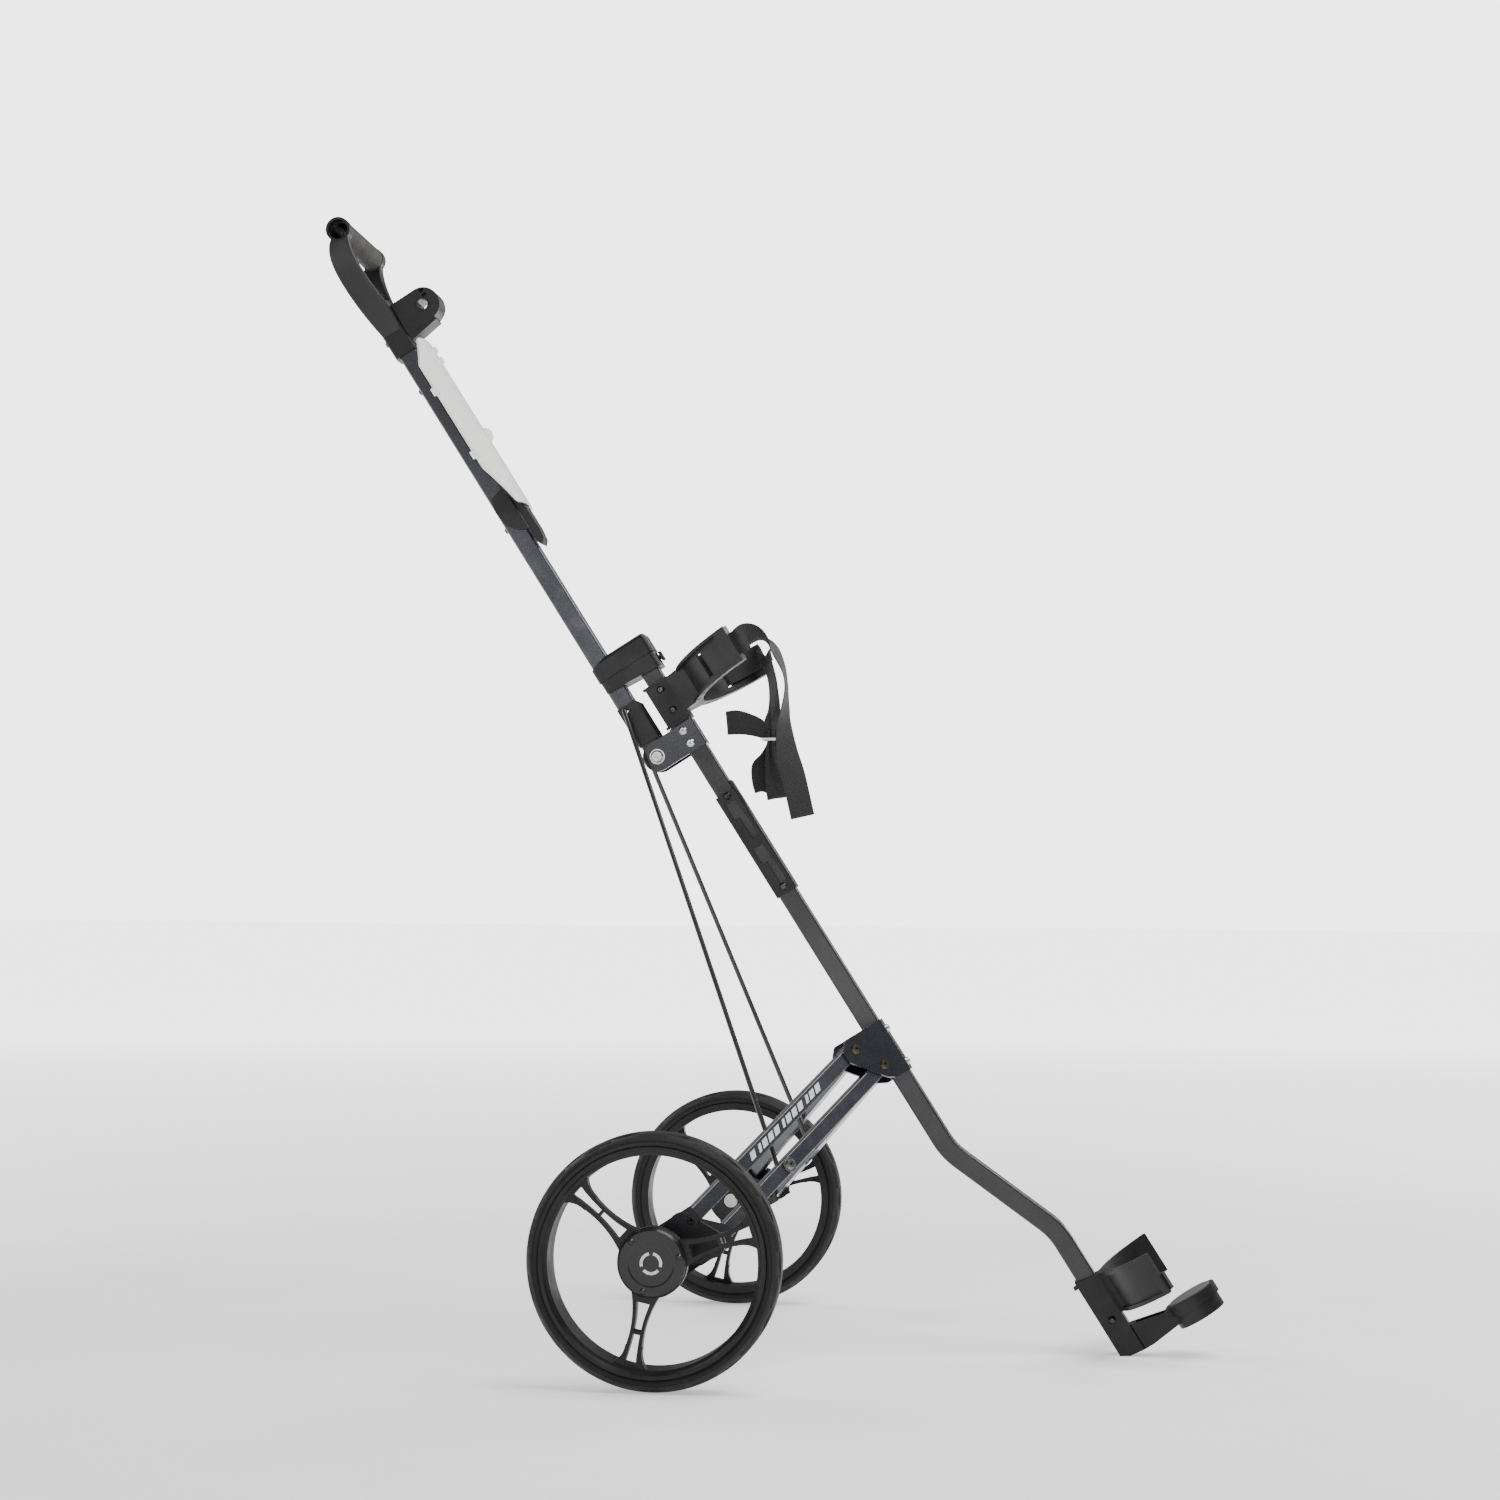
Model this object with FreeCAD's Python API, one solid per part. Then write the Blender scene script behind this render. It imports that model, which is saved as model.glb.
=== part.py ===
"""Two-wheel folding pull trolley for a golf bag, one STEP file for each separate piece.

Millimetres. The finished part stands on Z = 0 with +X to the bag side and the handle leaning back
over -X, and its origin is the centre of the bounding box's base.

Most pieces are drawn in the tube frame: X runs down the main tube, Y is across the trolley, Z points
to the bag side, and the origin is on the main tube's axis level with the fold pivot.  Each leg is
drawn in a leg frame: X runs down the tube, Y points outwards along the leg's plane and Z is square to
that plane.  "right" pieces have negative Y.
"""
import FreeCAD
import Part
import os
from math import sin, cos, tan, atan2, asin, sqrt, radians, degrees, hypot

V = FreeCAD.Vector
CENTRE = V(0, 0, 0)
AXIS_X = V(1, 0, 0)
AXIS_Y = V(0, 1, 0)
AXIS_Z = V(0, 0, 1)

# ---------------------------------------------------------------- driving dimensions
LEAN = 57.5                # slope of the tubes below horizontal, degrees

TUBE = 20.0                # main and handle tube, square
TUBE_WALL = 1.5
TUBE_ROUND = 2.0
TUBE_GAP = 20.0            # clear space between handle tube and main tube
TUBE_TOP = 110.0           # main tube above the fold pivot
JOG_START = 504.0          # first bend of the main tube below the pivot
JOG_RUN = 125.0
JOG_RISE = 50.5
JOG_RADIUS = 70.0

HANDLE_TUBE_LENGTH = 540.0  # above the pivot
HANDLE_TAIL = 9.0           # below the pivot
HANDLE_FOLD = 172.0         # degrees

BRACKET_PLATE = 2.0
SIDE_PLAY = 0.4            # each side of a tube that turns between cheeks
PIVOT_CHEEK = 15.5         # half height of the pivot bracket
PIVOT_R = 4.0
RUN_PLAY = 0.06            # radial play of a pin in its hole

BAR = 15.0                 # leg bar, square
BAR_WALL = 1.2
BAR_PLAY = 0.8             # each side of a bar between plates
BAR_LENGTH = 294.0         # between hinge pins
BAR_END = 8.0              # bar beyond its pin
LEG_SPLAY = 46.87          # leg plane, turned out from straight back, degrees
LEG_ANGLE = 79.2           # bar from the tube's direction, in the leg plane
LEG_FOLD = 73.5
PIN_R = 3.0
UPPER_PIN = (366.5, 49.75)  # leg frame X, Y
PIN_STEP = (28.6, -22.5)   # from the upper bar's pin to the lower bar's
HUB_STEP = (13.2, 50.6)    # from the upper bar's outer pin to the wheel's centre

WHEEL_R = 120.0
TYRE_WIDTH = 39.0
TYRE_DEPTH = 13.0
RIM_DEPTH = 8.0
RIM_WIDTH = 37.0
HUB_R = 33.0
HUB_FACE = 15.0            # hub's outer face from the wheel's middle plane
AXLE_R = 4.0
BEARING_R = 8.0
BEARING_WIDTH = 5.0
SPOKES = 3
SPOKE_FIRST = 18.0         # direction of the first spoke above +X, degrees

ROD_R = 2.5
ROD_TOP = 58.5             # rod's upper end above the fold pivot
ROD_TOP_BACK = 3.5         # and behind the handle tube's axis
ROD_REACH = 175.0          # rod's lower bolt along the lower bar

GRIP_HALF = 73.0
GRIP_UP = 645.0            # grip's axis above the pivot
GRIP_FORWARD = 13.5        # grip's axis ahead of the handle tube's axis
GRIP_R = 13.0
GRIP_MOUTH_R = 10.4
GRIP_BORE_R = 9.4
GRIP_SLEEVE_R = 12.5
GRIP_SLEEVE_WALL = 1.5

CRADLE_R = 90.0            # bag side of both cradles
CRADLE_WALL = 3.0
UPPER_CRADLE_TOP = 65.5    # above the pivot
UPPER_CRADLE_HEIGHT = 40.5
UPPER_CRADLE_APEX = 32.0   # ahead of the main tube's axis
UPPER_CRADLE_HALF = 73.0   # half angle, degrees
LOWER_CRADLE_TOP = 81.0    # above the tube's lower end
LOWER_CRADLE_HEIGHT = 44.0
LOWER_CRADLE_APEX = 19.8   # ahead of the lower tube's axis
LOWER_CRADLE_HALF = 64.0

DISC_R = 28.0
DISC_OUT = 79.5            # foot disc's centre ahead of the lower tube's axis

CARD_LENGTH = 208.0
CARD_WIDTH = 120.0
CARD_TOP = 512.0           # above the pivot
CARD_CROWN_R = 136.0
CARD_SHEET = 2.2
CARD_CREST = 15.0          # cover's crest above the handle tube's front face

UMBRELLA_UP = 546.0        # umbrella socket above the pivot
UMBRELLA_FORWARD = 42.0    # socket's axis ahead of the handle tube's axis
UMBRELLA_R = 18.4
UMBRELLA_BORE_R = 5.6
UMBRELLA_HALF = 14.0

STRAP_WIDTH = 25.0
STRAP_THICK = 2.0

HEAD_R = 4.2
HEAD_HEIGHT = 2.6
SCREW_R = 2.2

# ---------------------------------------------------------------- derived sizes
HALF = TUBE / 2
HANDLE_Z = -(TUBE + TUBE_GAP)          # handle tube's axis in the tube frame
PIVOT = V(0, 0, HANDLE_Z)
BAR_DIR = (cos(radians(LEG_ANGLE)), sin(radians(LEG_ANGLE)))
LOWER_PIN = (UPPER_PIN[0] + PIN_STEP[0], UPPER_PIN[1] + PIN_STEP[1])
SPLAY_S, SPLAY_C = sin(radians(LEG_SPLAY)), cos(radians(LEG_SPLAY))
TUBE_CORNER = HALF * (SPLAY_S + SPLAY_C)   # from the tube's axis to its corner, square to the leg plane
PLATE_OUT = -TUBE_CORNER - 0.3             # leg frame Z of the outer plate's inner face
BAR_LOW = PLATE_OUT + BAR_PLAY
BAR_MID = BAR_LOW + BAR / 2
BAR_HIGH = BAR_LOW + BAR
PLATE_IN = BAR_HIGH + BAR_PLAY             # inner plate's outer face
LEAN_S, LEAN_C = sin(radians(LEAN)), cos(radians(LEAN))
LOW_Z = JOG_RISE                           # lower tube's axis in the tube frame
CHEEK_IN = HALF + SIDE_PLAY


def leg_to_tube(x, y, z):
    """Point of the right leg's frame, in the tube frame."""
    return V(x, -SPLAY_S * y + SPLAY_C * z, -SPLAY_C * y - SPLAY_S * z)


def outer_pin(inner):
    return inner[0] + BAR_LENGTH * BAR_DIR[0], inner[1] + BAR_LENGTH * BAR_DIR[1]


UPPER_OUTER = outer_pin(UPPER_PIN)
LOWER_OUTER = outer_pin(LOWER_PIN)
HUB = leg_to_tube(UPPER_OUTER[0] + HUB_STEP[0], UPPER_OUTER[1] + HUB_STEP[1], BAR_MID)
TRACK_HALF = -HUB.y
LIFT = WHEEL_R + LEAN_S * HUB.x - LEAN_C * HUB.z
SHIFT = -(LEAN_C * HUB.x + LEAN_S * HUB.z)
SOCKET_BACK = LOW_Z - HALF - 2.4           # lower bracket's back face
LOW_END = (LEAN_C * SOCKET_BACK + LIFT) / LEAN_S   # the tube frame's X where that face meets the ground
ROD_LOW = V(LOWER_PIN[0] + ROD_REACH * BAR_DIR[0], LOWER_PIN[1] + ROD_REACH * BAR_DIR[1],
            BAR_HIGH + 1.0 + ROD_R)        # in the leg frame
BLOCK_HALF = HALF + 4.5                    # rod block's half width
ROD_SIDE = BLOCK_HALF + 4.5                # rod's axis beside the block
GRIP_Z = HANDLE_Z + GRIP_FORWARD


def stand(shape):
    """Move a shape from the tube frame to the standing trolley, wheel contact at X = 0, Z = 0."""
    moved = shape.copy()
    moved.rotate(CENTRE, AXIS_Y, LEAN)
    moved.translate(V(SHIFT, 0, LIFT))
    return moved


def stand_point(p):
    return V(LEAN_C * p.x + LEAN_S * p.z + SHIFT, p.y, -LEAN_S * p.x + LEAN_C * p.z + LIFT)


def leg(shape):
    """Move a shape from the right leg's frame to the standing trolley."""
    moved = shape.copy()
    moved.rotate(CENTRE, AXIS_X, -90 - LEG_SPLAY)
    return stand(moved)


def other_side(shape):
    return shape.mirror(CENTRE, AXIS_Y)


# ---------------------------------------------------------------- shape helpers
def block(x0, x1, y0, y1, z0, z1):
    return Part.makeBox(x1 - x0, y1 - y0, z1 - z0, V(x0, y0, z0))


def cylinder(radius, start, end):
    return Part.makeCylinder(radius, (end - start).Length, start, end - start)


def along_y(radius, x, z, y0, y1):
    return cylinder(radius, V(x, y0, z), V(x, y1, z))


def along_z(radius, x, y, z0, z1):
    return cylinder(radius, V(x, y, z0), V(x, y, z1))


def along_x(radius, y, z, x0, x1):
    return cylinder(radius, V(x0, y, z), V(x1, y, z))


def fuse(*shapes):
    return shapes[0].multiFuse(list(shapes[1:])).removeSplitter()


def cut(shape, *tools):
    return shape.cut(list(tools)).removeSplitter()


def group(shapes):
    return Part.makeCompound(shapes)


def polygon(points):
    return Part.makePolygon(points + [points[0]])


def plate_xy(points, z0, z1):
    face = Part.Face(polygon([V(x, y, z0) for x, y in points]))
    return face.extrude(V(0, 0, z1 - z0))


def plate_xz(points, y0, y1):
    face = Part.Face(polygon([V(x, y0, z) for x, z in points]))
    return face.extrude(V(0, y1 - y0, 0))


def plate_yz(points, x0, x1):
    face = Part.Face(polygon([V(x0, y, z) for y, z in points]))
    return face.extrude(V(x1 - x0, 0, 0))


def edges_along(shape, direction):
    chosen = []
    for edge in shape.Edges:
        if isinstance(edge.Curve, Part.Line) and edge.Length > 0.5:
            run = edge.Vertexes[1].Point - edge.Vertexes[0].Point
            if abs(run.normalize().dot(direction)) > 0.999:
                chosen.append(edge)
    return chosen


def rounded(shape, radius, direction):
    """Fillet every straight edge that runs in one direction."""
    return shape.makeFillet(radius, edges_along(shape, direction))


def square_face(size, radius, origin, along, up):
    """Rounded square face about origin, square to the direction along."""
    side = along.cross(up)
    h = size / 2
    corners = [(-1, -1), (1, -1), (1, 1), (-1, 1)]
    arcs = []
    for a, b in corners:
        centre = origin + side * (a * (h - radius)) + up * (b * (h - radius))
        first, last = centre + side * (a * radius), centre + up * (b * radius)
        mid = centre + (side * a + up * b) * (radius / sqrt(2))
        if a * b > 0:
            arcs.append((first, mid, last))
        else:
            arcs.append((last, mid, first))
    edges = []
    for i, arc in enumerate(arcs):
        edges.append(Part.Arc(*arc).toShape())
        edges.append(Part.LineSegment(arc[2], arcs[(i + 1) % 4][0]).toShape())
    return Part.Wire(edges)


def path_wire(points, radius):
    """Straight runs joined by tangent arcs of one radius."""
    edges = []
    last = points[0]
    for before, corner, after in zip(points, points[1:], points[2:]):
        inward = (before - corner).normalize()
        outward = (after - corner).normalize()
        half_turn = (180 - degrees(inward.getAngle(outward))) / 2
        tangent = radius * tan(radians(half_turn))
        start, end = corner + inward * tangent, corner + outward * tangent
        bisector = (inward + outward).normalize()
        middle = corner + bisector * (radius / cos(radians(half_turn)) - radius)
        edges.append(Part.LineSegment(last, start).toShape())
        edges.append(Part.Arc(start, middle, end).toShape())
        last = end
    edges.append(Part.LineSegment(last, points[-1]).toShape())
    return Part.Wire(edges)


def sweep(profile, path):
    return path.makePipeShell([profile], True, False)


def round_bar(points, bend, radius):
    path = path_wire(points, bend)
    along = (points[1] - points[0]).normalize()
    ring = Part.Wire(Part.makeCircle(radius, points[0], along))
    return sweep(ring, path)


def square_tube(start, end, size, wall, radius, up):
    along = (end - start).normalize()
    outer = Part.Face(square_face(size, radius, start, along, up)).extrude(end - start)
    inner = Part.Face(square_face(size - 2 * wall, max(radius - wall, 0.3), start, along, up))
    return outer.cut(inner.extrude(end - start))


def screw(head_centre, direction, length, shank=SCREW_R, head=HEAD_R, height=HEAD_HEIGHT):
    """Button-head screw: head stands out of the surface at head_centre, shank goes along direction."""
    d = V(direction).normalize()
    top = Part.makeCone(head, head * 0.55, height, head_centre, d * -1)
    socket = Part.makeCylinder(head * 0.3, height * 0.5, head_centre - d * height, d)
    return fuse(cut(top, socket), Part.makeCylinder(shank, length, head_centre - d * 0.01, d))


def hexagon_nut(centre, direction, radius, height, bore):
    d = V(direction).normalize()
    side = d.cross(AXIS_X)
    if side.Length < 0.1:
        side = d.cross(AXIS_Y)
    side.normalize()
    up = d.cross(side)
    points = []
    for i in range(6):
        a = radians(60 * i)
        points.append(centre + side * (radius * cos(a)) + up * (radius * sin(a)))
    body = Part.Face(polygon(points)).extrude(d * height)
    return body.cut(Part.makeCylinder(bore, height, centre, d))


def ring_sector(r0, r1, half_angle, centre_z, x0, x1):
    """Arc-shaped wall about an axis along X: the open side faces +Z."""
    a = radians(half_angle)
    points = []
    for r, sign in ((r0, -1), (r1, 1)):
        left = V(x0, sign * r * sin(a), centre_z - r * cos(a))
        right = V(x0, -sign * r * sin(a), centre_z - r * cos(a))
        points.append((left, V(x0, 0, centre_z - r), right))
    inner, outer = points
    edges = [Part.Arc(*inner).toShape(), Part.LineSegment(inner[2], outer[0]).toShape(),
             Part.Arc(*outer).toShape(), Part.LineSegment(outer[2], inner[0]).toShape()]
    return Part.Face(Part.Wire(edges)).extrude(V(x1 - x0, 0, 0))


def tube_void(x0, x1, centre_z, play):
    h = HALF + play
    return block(x0, x1, -h, h, centre_z - h, centre_z + h)


# ---------------------------------------------------------------- main tube and what is fixed to it
def main_tube():
    points = [V(-TUBE_TOP, 0, 0), V(JOG_START, 0, 0), V(JOG_START + JOG_RUN, 0, JOG_RISE),
              V(LOW_END - 3, 0, JOG_RISE)]
    path = path_wire(points, JOG_RADIUS)
    outer = sweep(square_face(TUBE, TUBE_ROUND, points[0], AXIS_X, AXIS_Z), path)
    inner = sweep(square_face(TUBE - 2 * TUBE_WALL, 0.5, points[0], AXIS_X, AXIS_Z), path)
    tube = outer.cut(inner)
    tools = [along_y(2.55, x, RIVET_Z, -HALF - 1, HALF + 1) for x in RIVET_X]
    tools += [along_y(SCREW_R + 0.05, x, 0, -HALF - 1, HALF + 1) for x in CLIP_SCREW_X + UPPER_SCREW_X]
    tools += [along_z(BOLT_R + 0.05, x, 0, -HALF - 1, HALF + 1) for x in BRACKET_BOLT_X]
    tools += [along_z(STEM_R + RUN_PLAY, LATCH_X, 0, -HALF - 1, HALF + 1)]
    tools += [along_y(SCREW_R + 0.05, LOW_END - LOW_SCREW_UP, LOW_Z, -HALF - 1, HALF + 1)]
    return tube.cut(tools)


RIVET_X = [-8.5, 6.5]
RIVET_Z = -3.0
RIVET_R = 2.5
CLIP_SCREW_X = [74.5, 185.0]
UPPER_SCREW_X = [-57.5, -32.5]
CHEEK_TOP, CHEEK_BOTTOM, CHEEK_BACK = -66.5, -18.0, -14.6
BRACKET_BOLT_X = [364.6, 404.1]
BOLT_R = 2.5
LOW_SCREW_UP = 34.5
LATCH_X = -89.0
LATCH_TOP, LATCH_SEAM, LATCH_BOTTOM = -119.5, -97.0, -81.5
LATCH_BACK = HANDLE_Z - HALF - 1.5
LATCH_FRONT = HALF + 6.5
LATCH_HALF = HALF + 7.0
STEM_R = 2.5
BUTTON_TRAVEL = 3.0


def latch_outline(x0, x1, inset, crown):
    """Block with its long edges rounded, and its top edges too where crown is above zero."""
    body = block(x0, x1, -LATCH_HALF + inset, LATCH_HALF - inset, LATCH_BACK + inset, LATCH_FRONT - inset)
    body = rounded(body, 6.0, AXIS_X)
    if crown:
        top = [e for e in body.Edges if e.BoundBox.XMax < x0 + 0.01]
        body = body.makeFillet(crown, top)
    return body


def handle_channel(x0, x1):
    """Space for the handle tube, open at the back so that the tube can swing out."""
    h = CHEEK_IN
    return block(x0, x1, -h, h, LATCH_BACK - 1, HANDLE_Z + HALF + SIDE_PLAY)


def latch_cap():
    body = latch_outline(LATCH_TOP, LATCH_SEAM, 0.0, 5.0)
    bevel = plate_xz([(LATCH_TOP - 1, LATCH_BACK - 1), (LATCH_TOP + 7, LATCH_BACK - 1),
                      (LATCH_TOP, LATCH_BACK + 21), (LATCH_TOP - 1, LATCH_BACK + 21)], -30, 30)
    return cut(body, bevel, handle_channel(LATCH_TOP - 1, LATCH_SEAM + 1),
               tube_void(-TUBE_TOP - 0.5, LATCH_SEAM + 1, 0, 0.1))


def latch_body():
    body = latch_outline(LATCH_SEAM, LATCH_BOTTOM + 2.5, 1.2, 0)
    slope = plate_xz([(LATCH_BOTTOM - 3, LATCH_BACK - 1), (LATCH_BOTTOM + 2.5, LATCH_FRONT + 1),
                      (LATCH_BOTTOM + 4, LATCH_FRONT + 1), (LATCH_BOTTOM + 4, LATCH_BACK - 1)], -30, 30)
    pocket = block(LATCH_X - 5.5, LATCH_X + 5.5, -6.5, 6.5, LATCH_FRONT - 2.4, LATCH_FRONT + 1)
    return cut(body, slope, handle_channel(LATCH_SEAM - 1, LATCH_BOTTOM + 4),
               tube_void(LATCH_SEAM - 1, LATCH_BOTTOM + 4, 0, 0.1),
               along_z(STEM_R + RUN_PLAY, LATCH_X, 0, LATCH_BACK, LATCH_FRONT + 1),
               pocket)


def latch_button():
    face = LATCH_FRONT + BUTTON_TRAVEL
    pad = rounded(block(LATCH_X - 5, LATCH_X + 5, -6, 6, LATCH_FRONT + 0.8, face + 0.8), 1.5, AXIS_Z)
    stem = along_z(STEM_R, LATCH_X, 0, HANDLE_Z + HALF + BUTTON_TRAVEL + 2.0, face)
    collar = along_z(5.0, LATCH_X, 0, 3.4, 5.0)
    return fuse(pad, stem, collar)


def latch_spring():
    floor = -HALF + TUBE_WALL
    top = 3.4 - BUTTON_TRAVEL - 0.1
    coils = cut(along_z(4.6, LATCH_X, 0, floor, top), along_z(3.1, LATCH_X, 0, floor - 1, top + 1))
    return coils


def upper_bag_bracket():
    x0 = -UPPER_CRADLE_TOP
    x1 = x0 + UPPER_CRADLE_HEIGHT
    centre = UPPER_CRADLE_APEX + CRADLE_R
    outer = CRADLE_R + CRADLE_WALL
    wall = ring_sector(CRADLE_R, outer, UPPER_CRADLE_HALF, centre, x0, x1)
    rib = 6.5
    top = ring_sector(CRADLE_R, outer + rib, UPPER_CRADLE_HALF, centre, x0, x0 + 3)
    bottom = ring_sector(CRADLE_R, outer + rib, UPPER_CRADLE_HALF, centre, x1 - 3, x1)
    ends = []
    for sign in (-1, 1):
        end = ring_sector(CRADLE_R - 2.5, outer + rib, 4.0, centre, x0, x1)
        end.rotate(V(0, 0, centre), AXIS_X, sign * (UPPER_CRADLE_HALF - 3.0))
        ends.append(end)
    neck_side = HALF + 3.2
    cheeks = block(CHEEK_TOP, CHEEK_BOTTOM, -neck_side, neck_side, CHEEK_BACK, HALF + 3)
    lips = [block(x, x + 2.5, -neck_side - 0.8, neck_side + 0.8, CHEEK_BACK - 2.2, HALF)
            for x in (CHEEK_TOP - 0.6, CHEEK_BOTTOM - 1.9)]
    neck = plate_yz([(-neck_side, HALF), (-30, UPPER_CRADLE_APEX + 6.5), (30, UPPER_CRADLE_APEX + 6.5),
                     (neck_side, HALF)], x0, x1)
    body = fuse(wall, top, bottom, cheeks, neck, *lips, *ends)
    hollow = along_x(CRADLE_R, 0, centre, x0 - 1, x1 + 1)
    tools = [block(x0 - 10, x1 + 20, -HALF - 0.1, HALF + 0.1, -30, HALF + 0.1), hollow]
    slot_angle = degrees(asin((STRAP_SLOT_Y) / CRADLE_R))
    for sign in (-1, 1):
        slot = block((x0 + x1) / 2 - STRAP_WIDTH / 2 - 1.5, (x0 + x1) / 2 + STRAP_WIDTH / 2 + 1.5,
                     -3.5, 3.5, centre - outer - 9, centre - CRADLE_R + 5)
        slot.rotate(V(0, 0, centre), AXIS_X, sign * slot_angle)
        tools.append(slot)
        for step in (18, 31):
            hole = along_x(2.2, 0, centre - outer - rib / 2, x1 - 4, x1 + 1)
            hole.rotate(V(0, 0, centre), AXIS_X, sign * step)
            tools.append(hole)
    tools += [along_y(SCREW_R + 0.05, x, 0, -20, 20) for x in UPPER_SCREW_X]
    # the cradle's hollow would also shave the end blocks, which stand 2.5 mm proud of it
    keep = [e.common(ring_sector(CRADLE_R - 2.5, CRADLE_R + 0.5, 90, centre, x0, x1)) for e in ends]
    return fuse(cut(body, *tools), *keep)


STRAP_SLOT_Y = 64.0


def cross_screws(xs, z, half, length):
    """A screw from each side at each x, heads on the faces at plus and minus half."""
    found = []
    for x in xs:
        for sign in (-1, 1):
            found.append(screw(V(x, sign * half, z), V(0, -sign, 0), length))
    return group(found)


def upper_bracket_screws():
    return cross_screws(UPPER_SCREW_X, 0, HALF + 3.2, 7.0)


def bracket_channel(x0, x1, back, cheek_in):
    """Folded steel channel: web on the main tube's front face, cheeks reaching back."""
    out = cheek_in + BRACKET_PLATE
    body = rounded(block(x0, x1, -out, out, back, HALF + BRACKET_PLATE), 1.5, AXIS_X)
    return cut(body, block(x0 - 1, x1 + 1, -cheek_in, cheek_in, back - 1, HALF))


def pivot_bracket():
    back = HANDLE_Z - PIVOT_CHEEK
    body = bracket_channel(-PIVOT_CHEEK, PIVOT_CHEEK, back, CHEEK_IN)
    keep = fuse(along_y(PIVOT_CHEEK, 0, HANDLE_Z, -20, 20),
                block(-PIVOT_CHEEK, PIVOT_CHEEK, -20, 20, HANDLE_Z, HALF + 5))
    tools = [along_y(PIVOT_R + 0.02, 0, HANDLE_Z, -20, 20)]
    tools += [along_y(RIVET_R + 0.02, x, RIVET_Z, -20, 20) for x in RIVET_X]
    return cut(body.common(keep), *tools)


def pivot_bracket_rivets():
    face = CHEEK_IN + BRACKET_PLATE
    found = []
    for x in RIVET_X:
        shank = along_y(RIVET_R, x, RIVET_Z, -face, face)
        heads = [Part.makeCone(4.4, 3.0, 1.6, V(x, sign * face, RIVET_Z), V(0, sign, 0)) for sign in (-1, 1)]
        hollow = along_y(1.3, x, RIVET_Z, -face - 2, face + 2)
        found.append(cut(fuse(shank, *heads), hollow))
    return group(found)


def pivot_bolt():
    face = CHEEK_IN + BRACKET_PLATE
    shank = along_y(PIVOT_R, 0, HANDLE_Z, -face - 1.2, face + 6.5)
    head = Part.makeCone(6.8, 5.0, 3.2, V(0, -face - 1.2, HANDLE_Z), V(0, -1, 0))
    socket = along_y(2.4, 0, HANDLE_Z, -face - 6, -face - 2.4)
    return cut(fuse(shank, head), socket)


def pivot_nut():
    face = CHEEK_IN + BRACKET_PLATE
    washer = cut(along_y(8.0, 0, HANDLE_Z, -face - 1.2, -face), along_y(PIVOT_R, 0, HANDLE_Z, -30, 0))
    nut = hexagon_nut(V(0, face, HANDLE_Z), AXIS_Y, 7.4, 5.5, PIVOT_R)
    return group([washer, nut])


def accessory_clip():
    x0, x1 = CLIP_SCREW_X[0] - 4, CLIP_SCREW_X[1] + 7
    h = HALF + 2.2
    body = rounded(block(x0, x1, -h, h, -h, h), 2.5, AXIS_X)
    lip = block(x0 - 9, x0 + 1, -HALF, HALF, HALF + 0.1, h)
    tools = [tube_void(x0 - 10, x1 + 1, 0, 0.05)]
    span = (x1 - x0 - 30) / 2
    for i in range(2):
        start = x0 + 10 + i * (span + 9)
        for sign in (-1, 1):
            side = sorted((sign * (HALF - 1), sign * (h + 1)))
            tools.append(block(start, start + span * 0.42, side[0], side[1], -6.8, 5.2))
            tools.append(block(start + span * 0.42, start + span, side[0], side[1], -1.0, 6.8))
    tools += [along_y(SCREW_R + 0.05, x, 0, -20, 20) for x in CLIP_SCREW_X]
    return cut(fuse(body, lip), *tools)


def accessory_clip_screws():
    return cross_screws(CLIP_SCREW_X, 0, HALF + 2.2, 6.5)


# ---------------------------------------------------------------- leg bracket and hinge pins
def leg_plate_outline(root):
    """Three-cornered plate in the leg plane, from the fold at the tube to beyond both pins."""
    (ux, uy), (lx, ly) = UPPER_PIN, LOWER_PIN
    left, right = ux - 13.0, lx + 18.0
    return [(left, root), (right, root), (right, ly - 8), (lx + 13, ly + 4),
            (ux + 9, uy + 15), (ux - 4, uy + 16), (left, uy + 6)]


def leg_plate(z0, z1, root):
    outline = plate_xy(leg_plate_outline(root), z0, z1)
    corners = [e for e in edges_along(outline, AXIS_Z) if e.Vertexes[0].Point.y > root + 5]
    plate = outline.makeFillet(5.0, corners)
    holes = [along_z(PIN_R + 0.02, x, y, z0 - 1, z1 + 1) for x, y in (UPPER_PIN, LOWER_PIN)]
    return leg_local(plate.cut(holes))


def leg_local(shape):
    """Leg frame to tube frame."""
    moved = shape.copy()
    moved.rotate(CENTRE, AXIS_X, -90 - LEG_SPLAY)
    return moved


def plate_span():
    return UPPER_PIN[0] - 13.0, LOWER_PIN[0] + 18.0


def leg_bracket_outer():
    x0, x1 = plate_span()
    right = leg_plate(PLATE_OUT - BRACKET_PLATE, PLATE_OUT, -0.6)
    strap_half = HALF + 1.4
    web = block(x0, x1, -strap_half, strap_half, HALF, HALF + BRACKET_PLATE)
    tools = [along_z(BOLT_R + 0.02, x, 0, 0, 30) for x in BRACKET_BOLT_X]
    return cut(fuse(right, other_side(right), web), *tools)


def leg_bracket_inner():
    x0, x1 = plate_span()
    root = (HALF - SPLAY_S * PLATE_IN) / SPLAY_C + 0.4
    right = leg_plate(PLATE_IN, PLATE_IN + BRACKET_PLATE, root)
    web = block(x0, x1, -HALF + 1, HALF - 1, -HALF - BRACKET_PLATE, -HALF)
    tools = [along_z(BOLT_R + 0.02, x, 0, -30, 0) for x in BRACKET_BOLT_X]
    return cut(fuse(right, other_side(right), web), *tools)


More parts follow.
